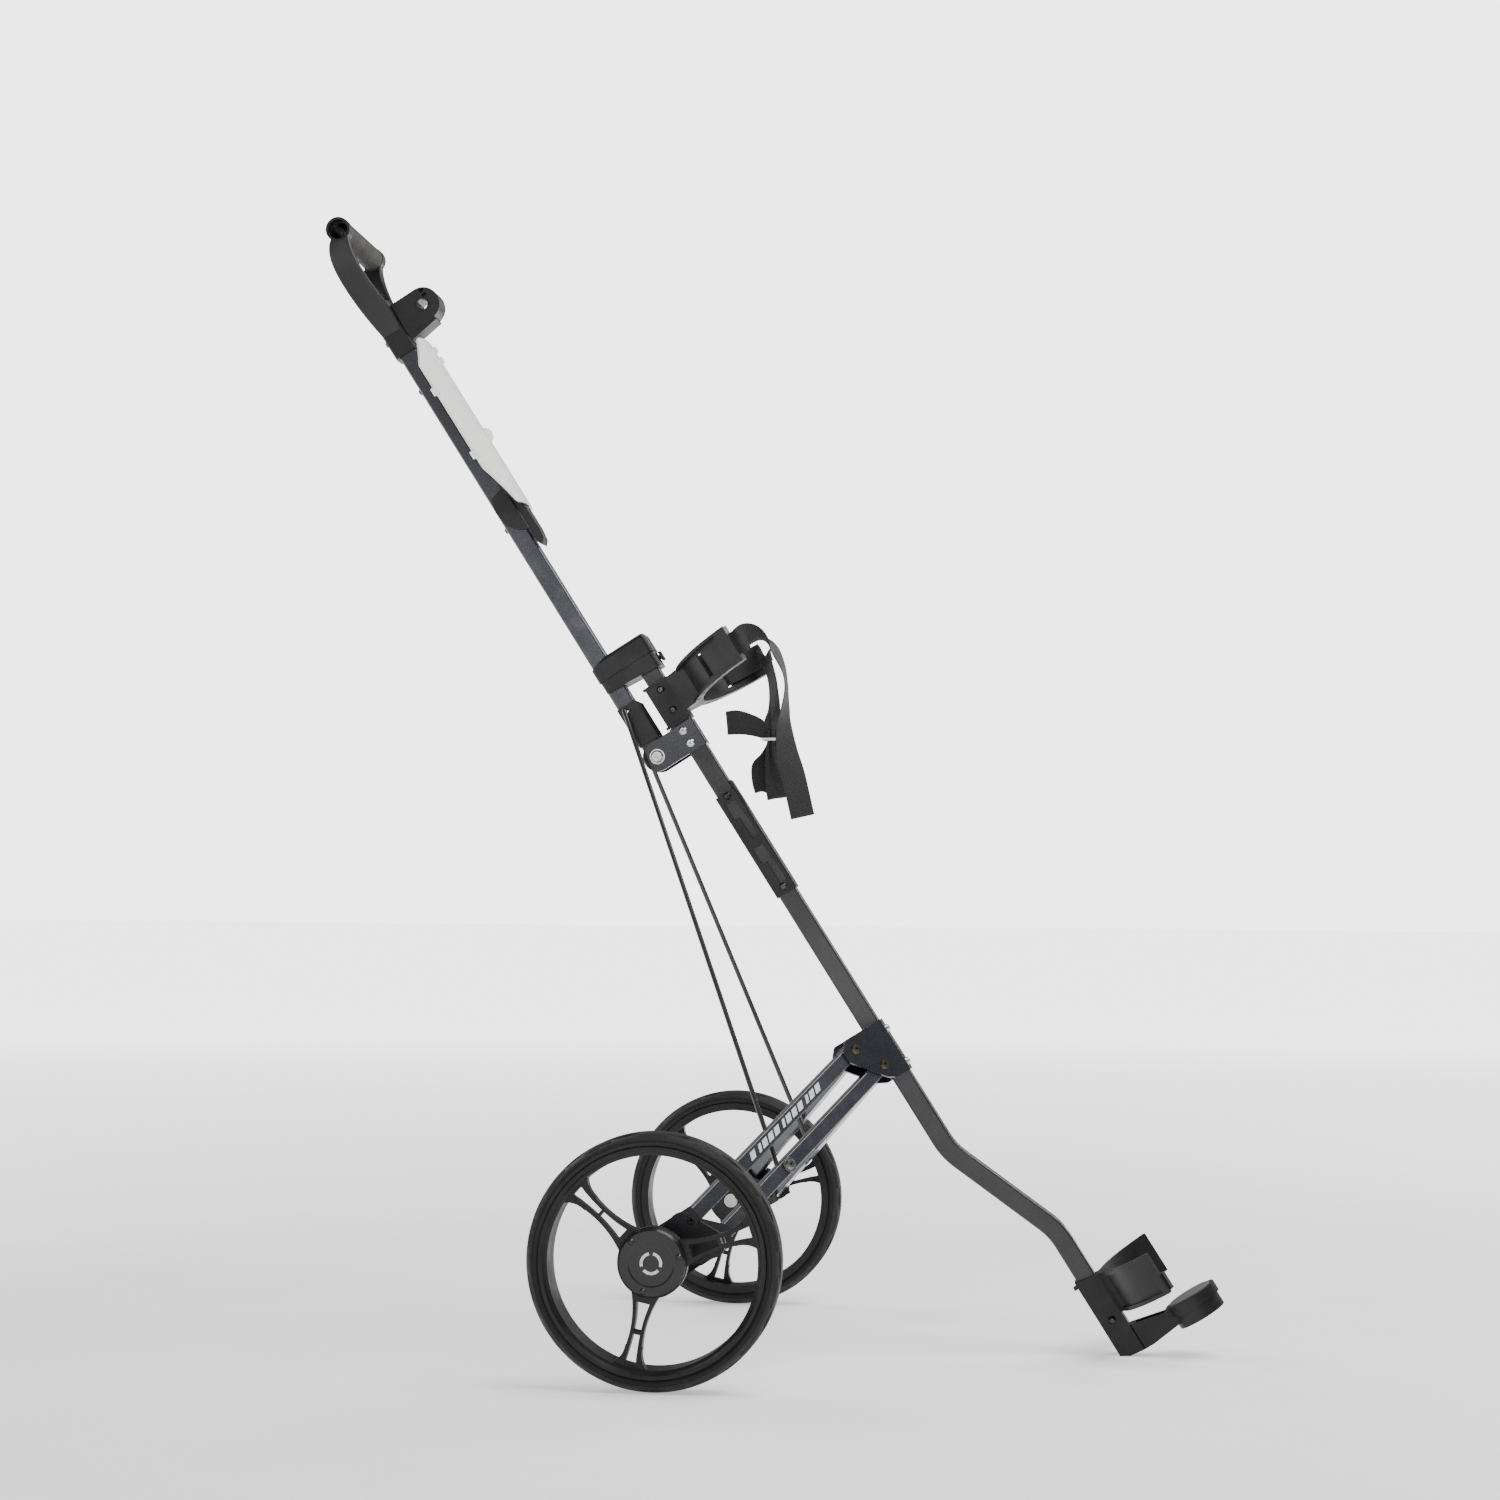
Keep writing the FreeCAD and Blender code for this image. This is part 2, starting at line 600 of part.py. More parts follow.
def leg_bracket_bolts():
    found = []
    for x in BRACKET_BOLT_X:
        front, back = HALF + BRACKET_PLATE, -HALF - BRACKET_PLATE
        found.append(screw(V(x, 0, front), V(0, 0, -1), front - back + 4.5, BOLT_R, 4.4, 3.6))
        found.append(hexagon_nut(V(x, 0, back), V(0, 0, -1), 4.6, 4.0, BOLT_R))
    return group(found)


def hinge_pin(x, y, shank_to, head_from, shank):
    """Button-head bolt through the leg plane with its nut, in the leg frame."""
    head = Part.makeCone(5.4, 3.8, 2.4, V(x, y, head_from), V(0, 0, -1))
    socket = along_z(1.7, x, y, head_from - 3, head_from - 1)
    body = fuse(cut(head, socket), along_z(shank, x, y, head_from, shank_to + 2.9))
    nut = hexagon_nut(V(x, y, shank_to), AXIS_Z, 5.2, 2.5, shank)
    return [body, nut]


def leg_hinge_pins():
    found = []
    for x, y in (UPPER_PIN, LOWER_PIN):
        found += hinge_pin(x, y, PLATE_IN + BRACKET_PLATE, PLATE_OUT - BRACKET_PLATE, PIN_R)
    right = [leg_local(s) for s in found]
    return group(right + [other_side(s) for s in right])


# ---------------------------------------------------------------- lower bag bracket and foot
def lower_bag_bracket():
    x0 = LOW_END - LOWER_CRADLE_TOP
    x1 = x0 + LOWER_CRADLE_HEIGHT
    out = HALF + 2.4
    front = LOW_Z + out
    socket = plate_xz([(x0 - 4, SOCKET_BACK), (LOW_END, SOCKET_BACK), (LOW_END + 5, SOCKET_BACK + 9),
                       (LOW_END + 7, front), (x0, front)], -out - 0.6, out + 0.6)
    centre = LOW_Z + LOWER_CRADLE_APEX + CRADLE_R
    outer = CRADLE_R + CRADLE_WALL
    half = LOWER_CRADLE_HALF
    wall = ring_sector(CRADLE_R, outer, half, centre, x0, x1)
    rims = [ring_sector(CRADLE_R, outer + 3, half, centre, x0, x0 + 4),
            ring_sector(CRADLE_R, outer + 3, half, centre, x1 - 4, x1)]
    for sign in (-1, 1):
        tip = ring_sector(CRADLE_R, outer + 3, 1.8, centre, x0, x1)
        tip.rotate(V(0, 0, centre), AXIS_X, sign * (half - 1.8))
        rims.append(tip)
    neck = plate_yz([(-out, front - 1), (-34, centre - CRADLE_R * cos(radians(22))),
                     (34, centre - CRADLE_R * cos(radians(22))), (out, front - 1)], x0, x1)
    hollow = along_x(CRADLE_R, 0, centre, x0 - 1, x1 + 1)
    wing = cut(fuse(wall, neck, *rims), hollow)
    corners = []
    for edge in wing.Edges:
        box = edge.BoundBox
        if min(abs(box.YMax), abs(box.YMin)) > CRADLE_R * sin(radians(half - 4)) and box.XLength < 0.1:
            if box.ZMax > centre - CRADLE_R * cos(radians(half - 1)) - 2 and edge.Length > 2:
                corners.append(edge)
    tools = [tube_void(x0 - 10, LOW_END - 2.5, LOW_Z, 0.1),
             along_y(SCREW_R + 0.05, LOW_END - LOW_SCREW_UP, LOW_Z, -20, 20)]
    tail = rounded(block(x0 + 0.5, x0 + 3.5, -8, 8, SOCKET_BACK - 4.5, front), 2.5, AXIS_X)
    body = cut(fuse(socket, wing, tail), *tools)
    return above_ground(body)


def above_ground(shape):
    """Trim a tube-frame shape at the ground."""
    ground = Part.makeBox(4000, 2000, 1000, V(-2000, -1000, -1000))
    ground.translate(V(-SHIFT, 0, -LIFT))
    ground.rotate(CENTRE, AXIS_Y, -LEAN)
    return shape.cut(ground).removeSplitter()


def lower_bracket_screws():
    return cross_screws([LOW_END - LOW_SCREW_UP], LOW_Z, HALF + 3.0, 6.5)


FOOT_TOP, FOOT_STEP, FOOT_BOTTOM = -15.0, -4.5, 9.5     # foot disc's faces from the tube's lower end


def base_foot():
    """Arm from the socket's front face to the round stepped foot, in one moulding."""
    front = LOW_Z + HALF + 2.4
    disc_z = LOW_Z + DISC_OUT
    x0, x1 = LOW_END - 21, LOW_END + 7
    arm = plate_xz([(x0, front), (x1, front), (x1, front + 12), (x1 - 4, disc_z - DISC_R * 0.7),
                    (x1 - 4, disc_z), (LOW_END + FOOT_TOP + 2, disc_z),
                    (LOW_END + FOOT_TOP + 2, disc_z - DISC_R - 3)], -13, 13)
    arm = rounded(arm, 3.0, AXIS_X)
    step = along_x(DISC_R - 2.5, 0, disc_z, LOW_END + FOOT_STEP, LOW_END + FOOT_BOTTOM)
    slot = plate_xz([(x0 - 1, front + 6), (x0 + 13, front + 6), (x0 + 14, disc_z - DISC_R - 3),
                     (x0 - 1, disc_z - DISC_R - 3)], -7.5, 7.5)
    disc = along_x(DISC_R, 0, disc_z, LOW_END + FOOT_TOP, LOW_END + FOOT_STEP)
    recess = along_x(DISC_R - 4.4, 0, disc_z, LOW_END + FOOT_TOP - 9, LOW_END + FOOT_TOP + 3)
    return above_ground(cut(fuse(arm, disc, step), slot, recess))


def foot_pad():
    disc_z = LOW_Z + DISC_OUT
    start = LOW_END + FOOT_TOP - 1.5
    pad = along_x(DISC_R - 4.5, 0, disc_z, start, LOW_END + FOOT_TOP + 3)
    return pad.makeChamfer(1.0, [e for e in pad.Edges if e.BoundBox.XMax < start + 0.01])


# ---------------------------------------------------------------- straps
def band(stations, width, thick):
    """Flat strap lofted through stations of (point, width direction)."""
    wires = []
    for i, (p, across) in enumerate(stations):
        before = stations[max(i - 1, 0)][0]
        after = stations[min(i + 1, len(stations) - 1)][0]
        along = (after - before).normalize()
        side = across - along * across.dot(along)
        side.normalize()
        normal = along.cross(side)
        w, t = side * (width / 2), normal * (thick / 2)
        wires.append(polygon([p - w - t, p + w - t, p + w + t, p - w + t]))
    return Part.makeLoft(wires, True, True)


def cradle_point(sign, angle, r):
    """Point at mid height of the upper cradle, on the standing trolley."""
    a = radians(angle)
    x = -UPPER_CRADLE_TOP + UPPER_CRADLE_HEIGHT / 2
    return stand_point(V(x, sign * r * sin(a), UPPER_CRADLE_APEX + CRADLE_R - r * cos(a)))


def strap_anchor(sign):
    return cradle_point(sign, UPPER_CRADLE_HALF + 1.0, CRADLE_R + 3.0)


# strap stations from the anchor: forward, across (towards the middle) and up, then the width direction
RIGHT_STRAP = [((11, 14, 9), (0.5, 0.5, -0.7)),
               ((27, 24, 5), (0.4, 0.9, -0.3)), ((38, 34, -6), (0.3, 1, 0)), ((45, 44, -22), (0.1, 1, 0)),
               ((47, 52, -39), (0, 1, 0)), ((45, 60, -61), (0.2, 1, 0)), ((43, 66, -79), (0.5, 0.85, 0.1)),
               ((46, 72, -106), (0.8, 0.6, 0.2)), ((53, 76, -134), (0.93, 0.2, 0.3)), ((62, 80, -174), (0.93, 0, 0.35))]
LEFT_STRAP = [((10, -18, 2), (0.5, -0.5, -0.7)),
              ((17, -28, -12), (0.4, -0.9, 0)), ((23, -43, -33), (0.4, -0.9, 0)), ((26, -60, -57), (0.5, -0.8, 0)),
              ((25, -74, -79), (0.6, -0.7, 0))]
TIE_DROP = 13.0            # tie below the left strap's end


def strap_band(sign, stations):
    """Strap from behind the cradle through its slot, along the inside of the tip and on to the stations."""
    anchor = strap_anchor(sign)
    slot = degrees(asin(STRAP_SLOT_Y / CRADLE_R))
    inside = CRADLE_R - 2.5 - STRAP_THICK / 2 - 0.3
    start = [(slot, CRADLE_R + CRADLE_WALL + 3), (slot, CRADLE_R - 1), (slot + 5, inside),
             (UPPER_CRADLE_HALF - 9, inside), (UPPER_CRADLE_HALF + 3, inside - 1.0)]
    placed = [(cradle_point(sign, angle, r), V(LEAN_C, 0, -LEAN_S)) for angle, r in start]
    for (forward, across, up), width in stations:
        placed.append((anchor + V(forward, across, up), V(*width)))
    return band(placed, STRAP_WIDTH, STRAP_THICK)


def tie_point():
    """Middle of the tied strap, on the standing trolley."""
    forward, across, up = LEFT_STRAP[-1][0]
    return strap_anchor(1) + V(forward, across, up - TIE_DROP)


def strap_bundle():
    """Gathered webbing: a core through the tie, folds below it and a loop standing out behind."""
    p = tie_point()
    core = block(-6.5, 6.5, -7.5, 7.5, -14, TIE_DROP - 4.0)
    folds = [(-6, -4), (6, -4), (11, -14), (17, -40), (19, -64), (13, -66), (3, -60), (-3, -56), (-17, -53),
             (-18, -27), (-9, -14)]
    lower = Part.Face(polygon([V(x, -7.5, z) for x, z in folds])).extrude(V(0, 15, 0))
    loop = [(0, 2), (0, 6), (-10, 8), (-19, 23), (-37, 31), (-45, 29), (-47, 22), (-46, 4), (-22, 1.6)]
    upper = Part.Face(polygon([V(x, -7, z) for x, z in loop])).extrude(V(0, 14, 0))
    eye = Part.Face(polygon([V(-42, -20, 24), (V(-38, -20, 28)), V(-28, -20, 25), V(-33, -20, 22)]))
    shape = fuse(core, lower, cut(upper, eye.extrude(V(0, 40, 0))))
    shape.translate(p)
    return shape


def strap_tie():
    p = tie_point()
    ring = block(-8.0, 8.0, -9.0, 9.0, -1.4, 1.4).cut(block(-6.6, 6.6, -7.6, 7.6, -3, 3))
    ring.translate(p)
    return ring


def lower_bag_strap():
    """Webbing tab folded over the right tip of the lower cradle."""
    centre = LOW_Z + LOWER_CRADLE_APEX + CRADLE_R
    x1 = LOW_END - LOWER_CRADLE_TOP + LOWER_CRADLE_HEIGHT
    tab = ring_sector(CRADLE_R - 6, CRADLE_R - 0.1, 5.0, centre, x1 - 20, x1 - 2)
    tab.rotate(V(0, 0, centre), AXIS_X, 4 - LOWER_CRADLE_HALF)
    return tab


# ---------------------------------------------------------------- handle
def handle_tube():
    start, end = V(-HANDLE_TUBE_LENGTH, 0, HANDLE_Z), V(HANDLE_TAIL, 0, HANDLE_Z)
    tube = square_tube(start, end, TUBE, TUBE_WALL, TUBE_ROUND, AXIS_Z)
    tools = [along_y(PIVOT_R + RUN_PLAY, 0, HANDLE_Z, -20, 20)]
    tools += [along_z(SCREW_R + 0.05, x, 0, HANDLE_Z - 15, HANDLE_Z) for x in HANDLE_SCREW_X[1:]]
    tools += [along_y(3.05, -ROD_TOP, HANDLE_Z - ROD_TOP_BACK, -20, 20)]
    return tube.cut(tools)


HANDLE_SCREW_X = [-558.5, -534.0, -470.0, -292.0]
SOCKET_SKIN = 3.6


def section(x, y, z, half_y, half_z):
    """Rounded rectangular wire square to X."""
    r = min(half_y, half_z) * 0.55
    box = rounded(block(x, x + 1, y - half_y, y + half_y, z - half_z, z + half_z), r, AXIS_X)
    wires = [f.OuterWire for f in box.Faces if f.BoundBox.XLength < 0.01 and f.BoundBox.XMax < x + 0.1]
    return wires[0]


def yoke_arm():
    tip = -GRIP_UP
    y = -GRIP_HALF + 6.5
    stations = [section(tip + 108, -9.8, HANDLE_Z - 2.0, 5.2, 11.0),
                section(tip + 89, -17.0, HANDLE_Z - 2.2, 7.0, 13.2),
                section(tip + 65, -34.0, HANDLE_Z - 3.0, 7.8, 13.6),
                section(tip + 40, y + 12.5, HANDLE_Z - 1.8, 7.8, 13.0),
                section(tip + 20, y + 2.0, HANDLE_Z + 2.5, 6.5, 12.6),
                section(tip + 4, y, GRIP_Z - 0.5, 6.0, 11.8)]
    return Part.makeLoft(stations, True, False)


def handle_yoke():
    top = -HANDLE_TUBE_LENGTH
    socket = rounded(block(top - 32, top + 29, -HALF - SOCKET_SKIN, HALF + SOCKET_SKIN,
                           HANDLE_Z - HALF - SOCKET_SKIN, HANDLE_Z + HALF + 2), 3.0, AXIS_X)
    right = yoke_arm()
    rings = []
    for sign in (-1, 1):
        ring = along_y(GRIP_R, -GRIP_UP, GRIP_Z, sign * GRIP_HALF, sign * (GRIP_HALF - 13))
        rings.append(ring)
    bar_r = GRIP_SLEEVE_R - GRIP_SLEEVE_WALL - 0.05
    bar = along_y(bar_r, -GRIP_UP, GRIP_Z, -GRIP_HALF + 1, GRIP_HALF - 1)
    body = right.fuse([other_side(right), socket, bar] + rings)
    bore = along_y(GRIP_BORE_R, -GRIP_UP, GRIP_Z, -GRIP_HALF - 5, GRIP_HALF + 5)
    mouths = [along_y(GRIP_MOUTH_R, -GRIP_UP, GRIP_Z, sign * (GRIP_HALF - 10), sign * (GRIP_HALF + 5))
              for sign in (-1, 1)]
    cavity = tube_void(top, 0, HANDLE_Z, 0.1)
    seat = along_y(GRIP_SLEEVE_R + 0.1, -GRIP_UP, GRIP_Z, -GRIP_HALF + 13, GRIP_HALF - 13)
    seat = seat.cut(along_y(bar_r, -GRIP_UP, GRIP_Z, -GRIP_HALF, GRIP_HALF))
    tools = [along_z(SCREW_R + 0.05, x, 0, HANDLE_Z - 20, HANDLE_Z) for x in HANDLE_SCREW_X[:2]]
    return body.cut([bore, cavity, seat] + mouths + tools)


def grip_cover():
    half = GRIP_HALF - 13.1
    return cut(along_y(GRIP_SLEEVE_R, -GRIP_UP, GRIP_Z, -half, half),
               along_y(GRIP_SLEEVE_R - GRIP_SLEEVE_WALL, -GRIP_UP, GRIP_Z, -half - 1, half + 1))


def umbrella_axis():
    return -UMBRELLA_UP, HANDLE_Z + UMBRELLA_FORWARD


def umbrella_mount():
    """Upright socket for an umbrella arm, round at the front, on a wider foot."""
    base = HANDLE_Z + HALF + 2.0
    x, z = umbrella_axis()
    foot = plate_xz([(x + UMBRELLA_R - 3, base), (x + UMBRELLA_R + 8, base), (x + UMBRELLA_R + 3, z + 4),
                     (x + UMBRELLA_R - 3, z + 4)], -UMBRELLA_HALF + 1.5, UMBRELLA_HALF - 1.5)
    body = fuse(block(x - UMBRELLA_R, x + UMBRELLA_R, -UMBRELLA_HALF, UMBRELLA_HALF, base, z),
                along_y(UMBRELLA_R, x, z, -UMBRELLA_HALF, UMBRELLA_HALF), foot)
    bore = along_y(7.6, x, z, -UMBRELLA_HALF - 1, UMBRELLA_HALF + 1)
    pockets = []
    for sign in (-1, 1):
        side = sorted((sign * (UMBRELLA_HALF - 6), sign * (UMBRELLA_HALF + 1)))
        for step in (-7.5, -13.0):
            pockets.append(block(x + step - 2.2, x + step + 1.6, side[0], side[1], z + 4.0, z + 9.5))
    return cut(body, bore, *pockets)


def umbrella_insert():
    x, z = umbrella_axis()
    half = UMBRELLA_HALF + 0.8
    return cut(along_y(7.55, x, z, -half, half), along_y(UMBRELLA_BORE_R, x, z, -half - 1, half + 1))


def handle_screws():
    found = []
    for i, x in enumerate(HANDLE_SCREW_X):
        face = HANDLE_Z - HALF - (SOCKET_SKIN if i < 2 else 0.0)
        found.append(screw(V(x, 0, face), AXIS_Z, 8.0))
    return group(found)


def rod_block():
    x0, x1 = -ROD_TOP - 5.0, -PIVOT_CHEEK - 2.2
    body = block(x0, x1, -BLOCK_HALF, BLOCK_HALF, HANDLE_Z - HALF - 1.0, HANDLE_Z + HALF + 4.2)
    taper = plate_xz([(x0 - 1, HANDLE_Z + HALF), (x0 + 5, HANDLE_Z + HALF + 5), (x0 - 1, HANDLE_Z + HALF + 5)],
                     -30, 30)
    body = cut(rounded(body, 2.5, AXIS_X), taper)
    tools = [tube_void(x0 - 1, x1 + 1, HANDLE_Z, 0.1),
             block(x0 - 1, x1 + 1, -HALF + 1.5, HALF - 1.5, HANDLE_Z, HANDLE_Z + 30)]
    for sign in (-1, 1):
        side = sorted((sign * (HALF - 1), sign * (BLOCK_HALF + 1)))
        tools.append(along_y(3.4, -ROD_TOP, HANDLE_Z - ROD_TOP_BACK, side[0], side[1]))
    return cut(body, *tools)


# ---------------------------------------------------------------- score card console
CARD_SEAT = HANDLE_Z + HALF            # front face of the handle tube
TRAY_THICK = 3.0
CARD_PLAY = 0.5


def card_outline(grow):
    """Long plate with tapered ends, (X, Y)."""
    x0, x1 = -CARD_TOP - grow, -CARD_TOP + CARD_LENGTH + grow
    wide, narrow = CARD_WIDTH / 2 + grow, CARD_WIDTH / 2 - 26 + grow
    return [(x0, -narrow), (x0 + 34, -wide), (x1 - 44, -wide), (x1, -narrow),
            (x1, narrow), (x1 - 44, wide), (x0 + 34, wide), (x0, narrow)]


def crowned(outline, top, thick):
    """Outline cut from a shallow arched sheet whose crest is at height top."""
    centre = top - CARD_CROWN_R
    x0, x1 = min(p[0] for p in outline) - 1, max(p[0] for p in outline) + 1
    shell = along_x(CARD_CROWN_R, 0, centre, x0, x1).cut(
        along_x(CARD_CROWN_R - thick, 0, centre, x0 - 1, x1 + 1))
    solid = plate_xy(outline, top - 30, top + 5)
    return shell.common(rounded(solid, 7.0, AXIS_Z))


def cover_top():
    return CARD_SEAT + CARD_CREST


def tray_top():
    return cover_top() - CARD_SHEET - CARD_PLAY


def card_console():
    """Crowned tray on a spine, with a clasp round the handle tube and a tongue at its lower end."""
    top = tray_top()
    tray = crowned(card_outline(-3.0), top, TRAY_THICK)
    end = -CARD_TOP + CARD_LENGTH
    spine = block(-CARD_TOP + 8, end - 2, -9, 9, CARD_SEAT, top - 1.0)
    ribs = [block(x, x + 3, -30, 30, CARD_SEAT, top - 5.5) for x in (-CARD_TOP + 40, end - 62)]
    clasp = plate_xz([(end - 27, CARD_SEAT), (end - 22, CARD_SEAT - 16), (end - 8, CARD_SEAT - 19.5),
                      (end + 10, CARD_SEAT - 17), (end + 20, CARD_SEAT - 9), (end + 25, CARD_SEAT),
                      (end + 25, CARD_SEAT + 3), (end - 27, CARD_SEAT + 3)], -HALF - 4, HALF + 4)
    tongue = plate_xz([(end - 30, CARD_SEAT + 0.1), (end - 30, CARD_SEAT + 8), (end + 4, CARD_SEAT + 12),
                       (end + 28, CARD_SEAT + 12), (end + 42, CARD_SEAT + 10), (end + 47, CARD_SEAT + 5.5),
                       (end + 42, CARD_SEAT + 2), (end + 26, CARD_SEAT + 0.1)], -12, 12)
    body = fuse(tray, spine, rounded(clasp, 2.0, AXIS_X), rounded(tongue, 2.5, AXIS_X), *ribs)
    tube = block(-700, 0, -HALF - 0.1, HALF + 0.1, HANDLE_Z - 40, CARD_SEAT)
    centre = cover_top() - CARD_CROWN_R
    space = along_x(CARD_CROWN_R + 30, 0, centre, -CARD_TOP - 30, end + 3).cut(
        along_x(CARD_CROWN_R - CARD_SHEET - 0.2, 0, centre, -CARD_TOP - 31, end + 4))
    return cut(body, tube, space)


def card_cover():
    """Crowned cover with two small studs and a dome moulded on it."""
    top = cover_top()
    sheet = crowned(card_outline(0.0), top, CARD_SHEET)
    raised = []
    for x in CARD_BUMP_X:
        raised.append(along_z(4.0, x, 0, top - 1.0, top + 2.0))
        raised.append(Part.makeCone(4.0, 2.5, 1.5, V(x, 0, top + 2.0), AXIS_Z))
    ball = Part.makeSphere(9.5, V(CARD_DOME_X, 0, top - 3.0))
    raised.append(ball.common(block(CARD_DOME_X - 20, CARD_DOME_X + 20, -20, 20, top - 1.0, top + 20)))
    return fuse(sheet, *raised)


CARD_BUMP_X = [-500.0, -487.0]
CARD_DOME_X = -391.0
CARD_CLIP_X = [-444.0, -364.5]


def card_hinge():
    """Line about which the cover turns, (Y, Z) in the tube frame."""
    return -(CARD_WIDTH / 2 + 2.2), CARD_SEAT - 1.0


def card_clips():
    """White knuckles that hold the cover's right edge."""
    y, z = card_hinge()
    cover = card_cover()
    found = []
    for x in CARD_CLIP_X:
        knuckle = along_x(3.0, y, z, x - 4, x + 4)
        arm = block(x - 4, x + 4, y - 3.0, y - 1.2, z, z + 5.0)
        hook = block(x - 4, x + 4, y - 3.0, y + 6.5, z + 3.5, z + 5.0)
        found.append(cut(fuse(knuckle, arm, hook), cover))
    return group(found)


# ---------------------------------------------------------------- leg bars, rod and wheel carrier
def leg_bar(pin, extra_holes):
    """Square tube from its hinge pin outwards, in the leg frame."""
    direction = V(BAR_DIR[0], BAR_DIR[1], 0)
    inner = V(pin[0], pin[1], BAR_MID)
    tube = square_tube(inner - direction * BAR_END, inner + direction * (BAR_LENGTH + BAR_END),
                       BAR, BAR_WALL, 1.6, AXIS_Z)
    holes = [inner, inner + direction * BAR_LENGTH] + [inner + direction * d for d in extra_holes]
    return tube.cut([along_z(PIN_R + RUN_PLAY, p.x, p.y, BAR_LOW - 1, BAR_HIGH + 1) for p in holes])


def rod_bolt():
    """Bolt that holds the rod's eye on the lower bar's inner face."""
    x, y = ROD_LOW.x, ROD_LOW.y
    washer = cut(along_z(7.4, x, y, BAR_LOW - 1.5, BAR_LOW), along_z(PIN_R, x, y, BAR_LOW - 2, BAR_LOW + 1))
    parts = hinge_pin(x, y, ROD_LOW.z + ROD_R + 0.3, BAR_LOW - 1.5, PIN_R)
    return group([washer] + parts)


def rod_points():
    """Rod's line on the standing trolley: eye, bend beside the handle and hook tip."""
    eye = stand_point(leg_to_tube(ROD_LOW.x, ROD_LOW.y, ROD_LOW.z))
    corner = stand_point(V(-ROD_TOP, -ROD_SIDE, HANDLE_Z - ROD_TOP_BACK))
    tip = stand_point(V(-ROD_TOP, -BLOCK_HALF - 0.4, HANDLE_Z - ROD_TOP_BACK))
    return eye, corner, tip


def rod():
    """Wire rod: an eye on the lower bar, a long straight run and a short hook by the handle."""
    eye, corner, tip = rod_points()
    down = (corner - eye).normalize()
    start = eye + down * 5.0
    straight = cylinder(ROD_R, start, corner)
    knee = Part.makeSphere(ROD_R, corner)
    hook = cylinder(ROD_R, corner, tip)
    ring = leg(cut(along_z(6.2, ROD_LOW.x, ROD_LOW.y, ROD_LOW.z - ROD_R, ROD_LOW.z + ROD_R),
                   along_z(PIN_R + RUN_PLAY, ROD_LOW.x, ROD_LOW.y, ROD_LOW.z - 10, ROD_LOW.z + 10)))
    return fuse(straight, knee, hook, ring)


CARRIER_PLATE = 2.2
CARRIER_BACK = 8.0         # thickness of the web beside the wheel
CARRIER_GAP = 1.6          # between the web and the tyre's inner side


def carrier_web_face():
    """Distance of the web's outer face from the middle of the trolley."""
    return TRACK_HALF - TYRE_WIDTH / 2 - CARRIER_GAP


def hull_plate(circles, y0, y1):
    """Plate over circles of (x, z, r), joined in order by tangent-width strips, square to Y."""
    parts = [along_y(r, x, z, y0, y1) for x, z, r in circles]
    for (ax, az, ar), (bx, bz, br) in zip(circles, circles[1:] + circles[:1]):
        a = atan2(bz - az, bx - ax)
        nx, nz = -sin(a), cos(a)
        parts.append(plate_xz([(ax + nx * ar, az + nz * ar), (bx + nx * br, bz + nz * br),
                               (bx - nx * br, bz - nz * br), (ax - nx * ar, az - nz * ar)], y0, y1))
    return fuse(*parts)


def wheel_carrier():
    """Moulded carrier: cheeks over both bar ends, a web beside the wheel and a boss for the axle."""
    face = carrier_web_face()
    upper = leg_to_tube(UPPER_OUTER[0], UPPER_OUTER[1], BAR_MID)
    lower = leg_to_tube(LOWER_OUTER[0], LOWER_OUTER[1], BAR_MID)
    web = hull_plate([(HUB.x, HUB.z, 17.0), (upper.x, upper.z, 13.0), (lower.x, lower.z, 13.0)],
                     -face, -face + CARRIER_BACK)
    boss = along_y(17.0, HUB.x, HUB.z, -face, -face + 22)
    cheeks = []
    outline = [(UPPER_OUTER[0] - 12, UPPER_OUTER[1] - 10), (UPPER_OUTER[0] + 4, UPPER_OUTER[1] - 14),
               (LOWER_OUTER[0] - 6, LOWER_OUTER[1] - 14), (LOWER_OUTER[0] + 12, LOWER_OUTER[1] - 8),
               (LOWER_OUTER[0] + 12, UPPER_OUTER[1] + 45), (UPPER_OUTER[0] - 12, UPPER_OUTER[1] + 45)]
    for z0 in (PLATE_OUT - CARRIER_PLATE, PLATE_IN):
        cheeks.append(leg_local(plate_xy(outline, z0, z0 + CARRIER_PLATE)))
    inside = block(-1000, 2000, -face, 0, -1000, 1000)
    body = fuse(web, boss, *[c.common(inside) for c in cheeks])
    tools = [along_y(AXLE_R + 0.02, HUB.x, HUB.z, -TRACK_HALF - 50, 0)]
    for x, y in (UPPER_OUTER, LOWER_OUTER):
        tools.append(leg_local(along_z(PIN_R + 0.02, x, y, PLATE_OUT - 40, PLATE_IN + 20)))
        tools.append(leg_local(bar_swing(x, y)))
    tools.append(leg_local(pin_recess()))
    return cut(body, *tools)


def bar_swing(x, y):
    """Space that a bar's outer end needs in the carrier while the leg folds."""
    z0, z1 = PLATE_OUT + 0.01, PLATE_IN - 0.01
    end = BAR_END + 4.5
    disc = along_z(end, x, y, z0, z1)
    wide = BAR / 2 + 1.0
    parts = [disc]
    for step in range(0, 5):
        a = radians(LEG_ANGLE - LEG_FOLD * step / 4)
        run = plate_xy([(x - 60 * cos(a) - wide * sin(a), y - 60 * sin(a) + wide * cos(a)),
                        (x - wide * sin(a), y + wide * cos(a)), (x + wide * sin(a), y - wide * cos(a)),
                        (x - 60 * cos(a) + wide * sin(a), y - 60 * sin(a) - wide * cos(a))], z0, z1)
        parts.append(run)
    return fuse(*parts)


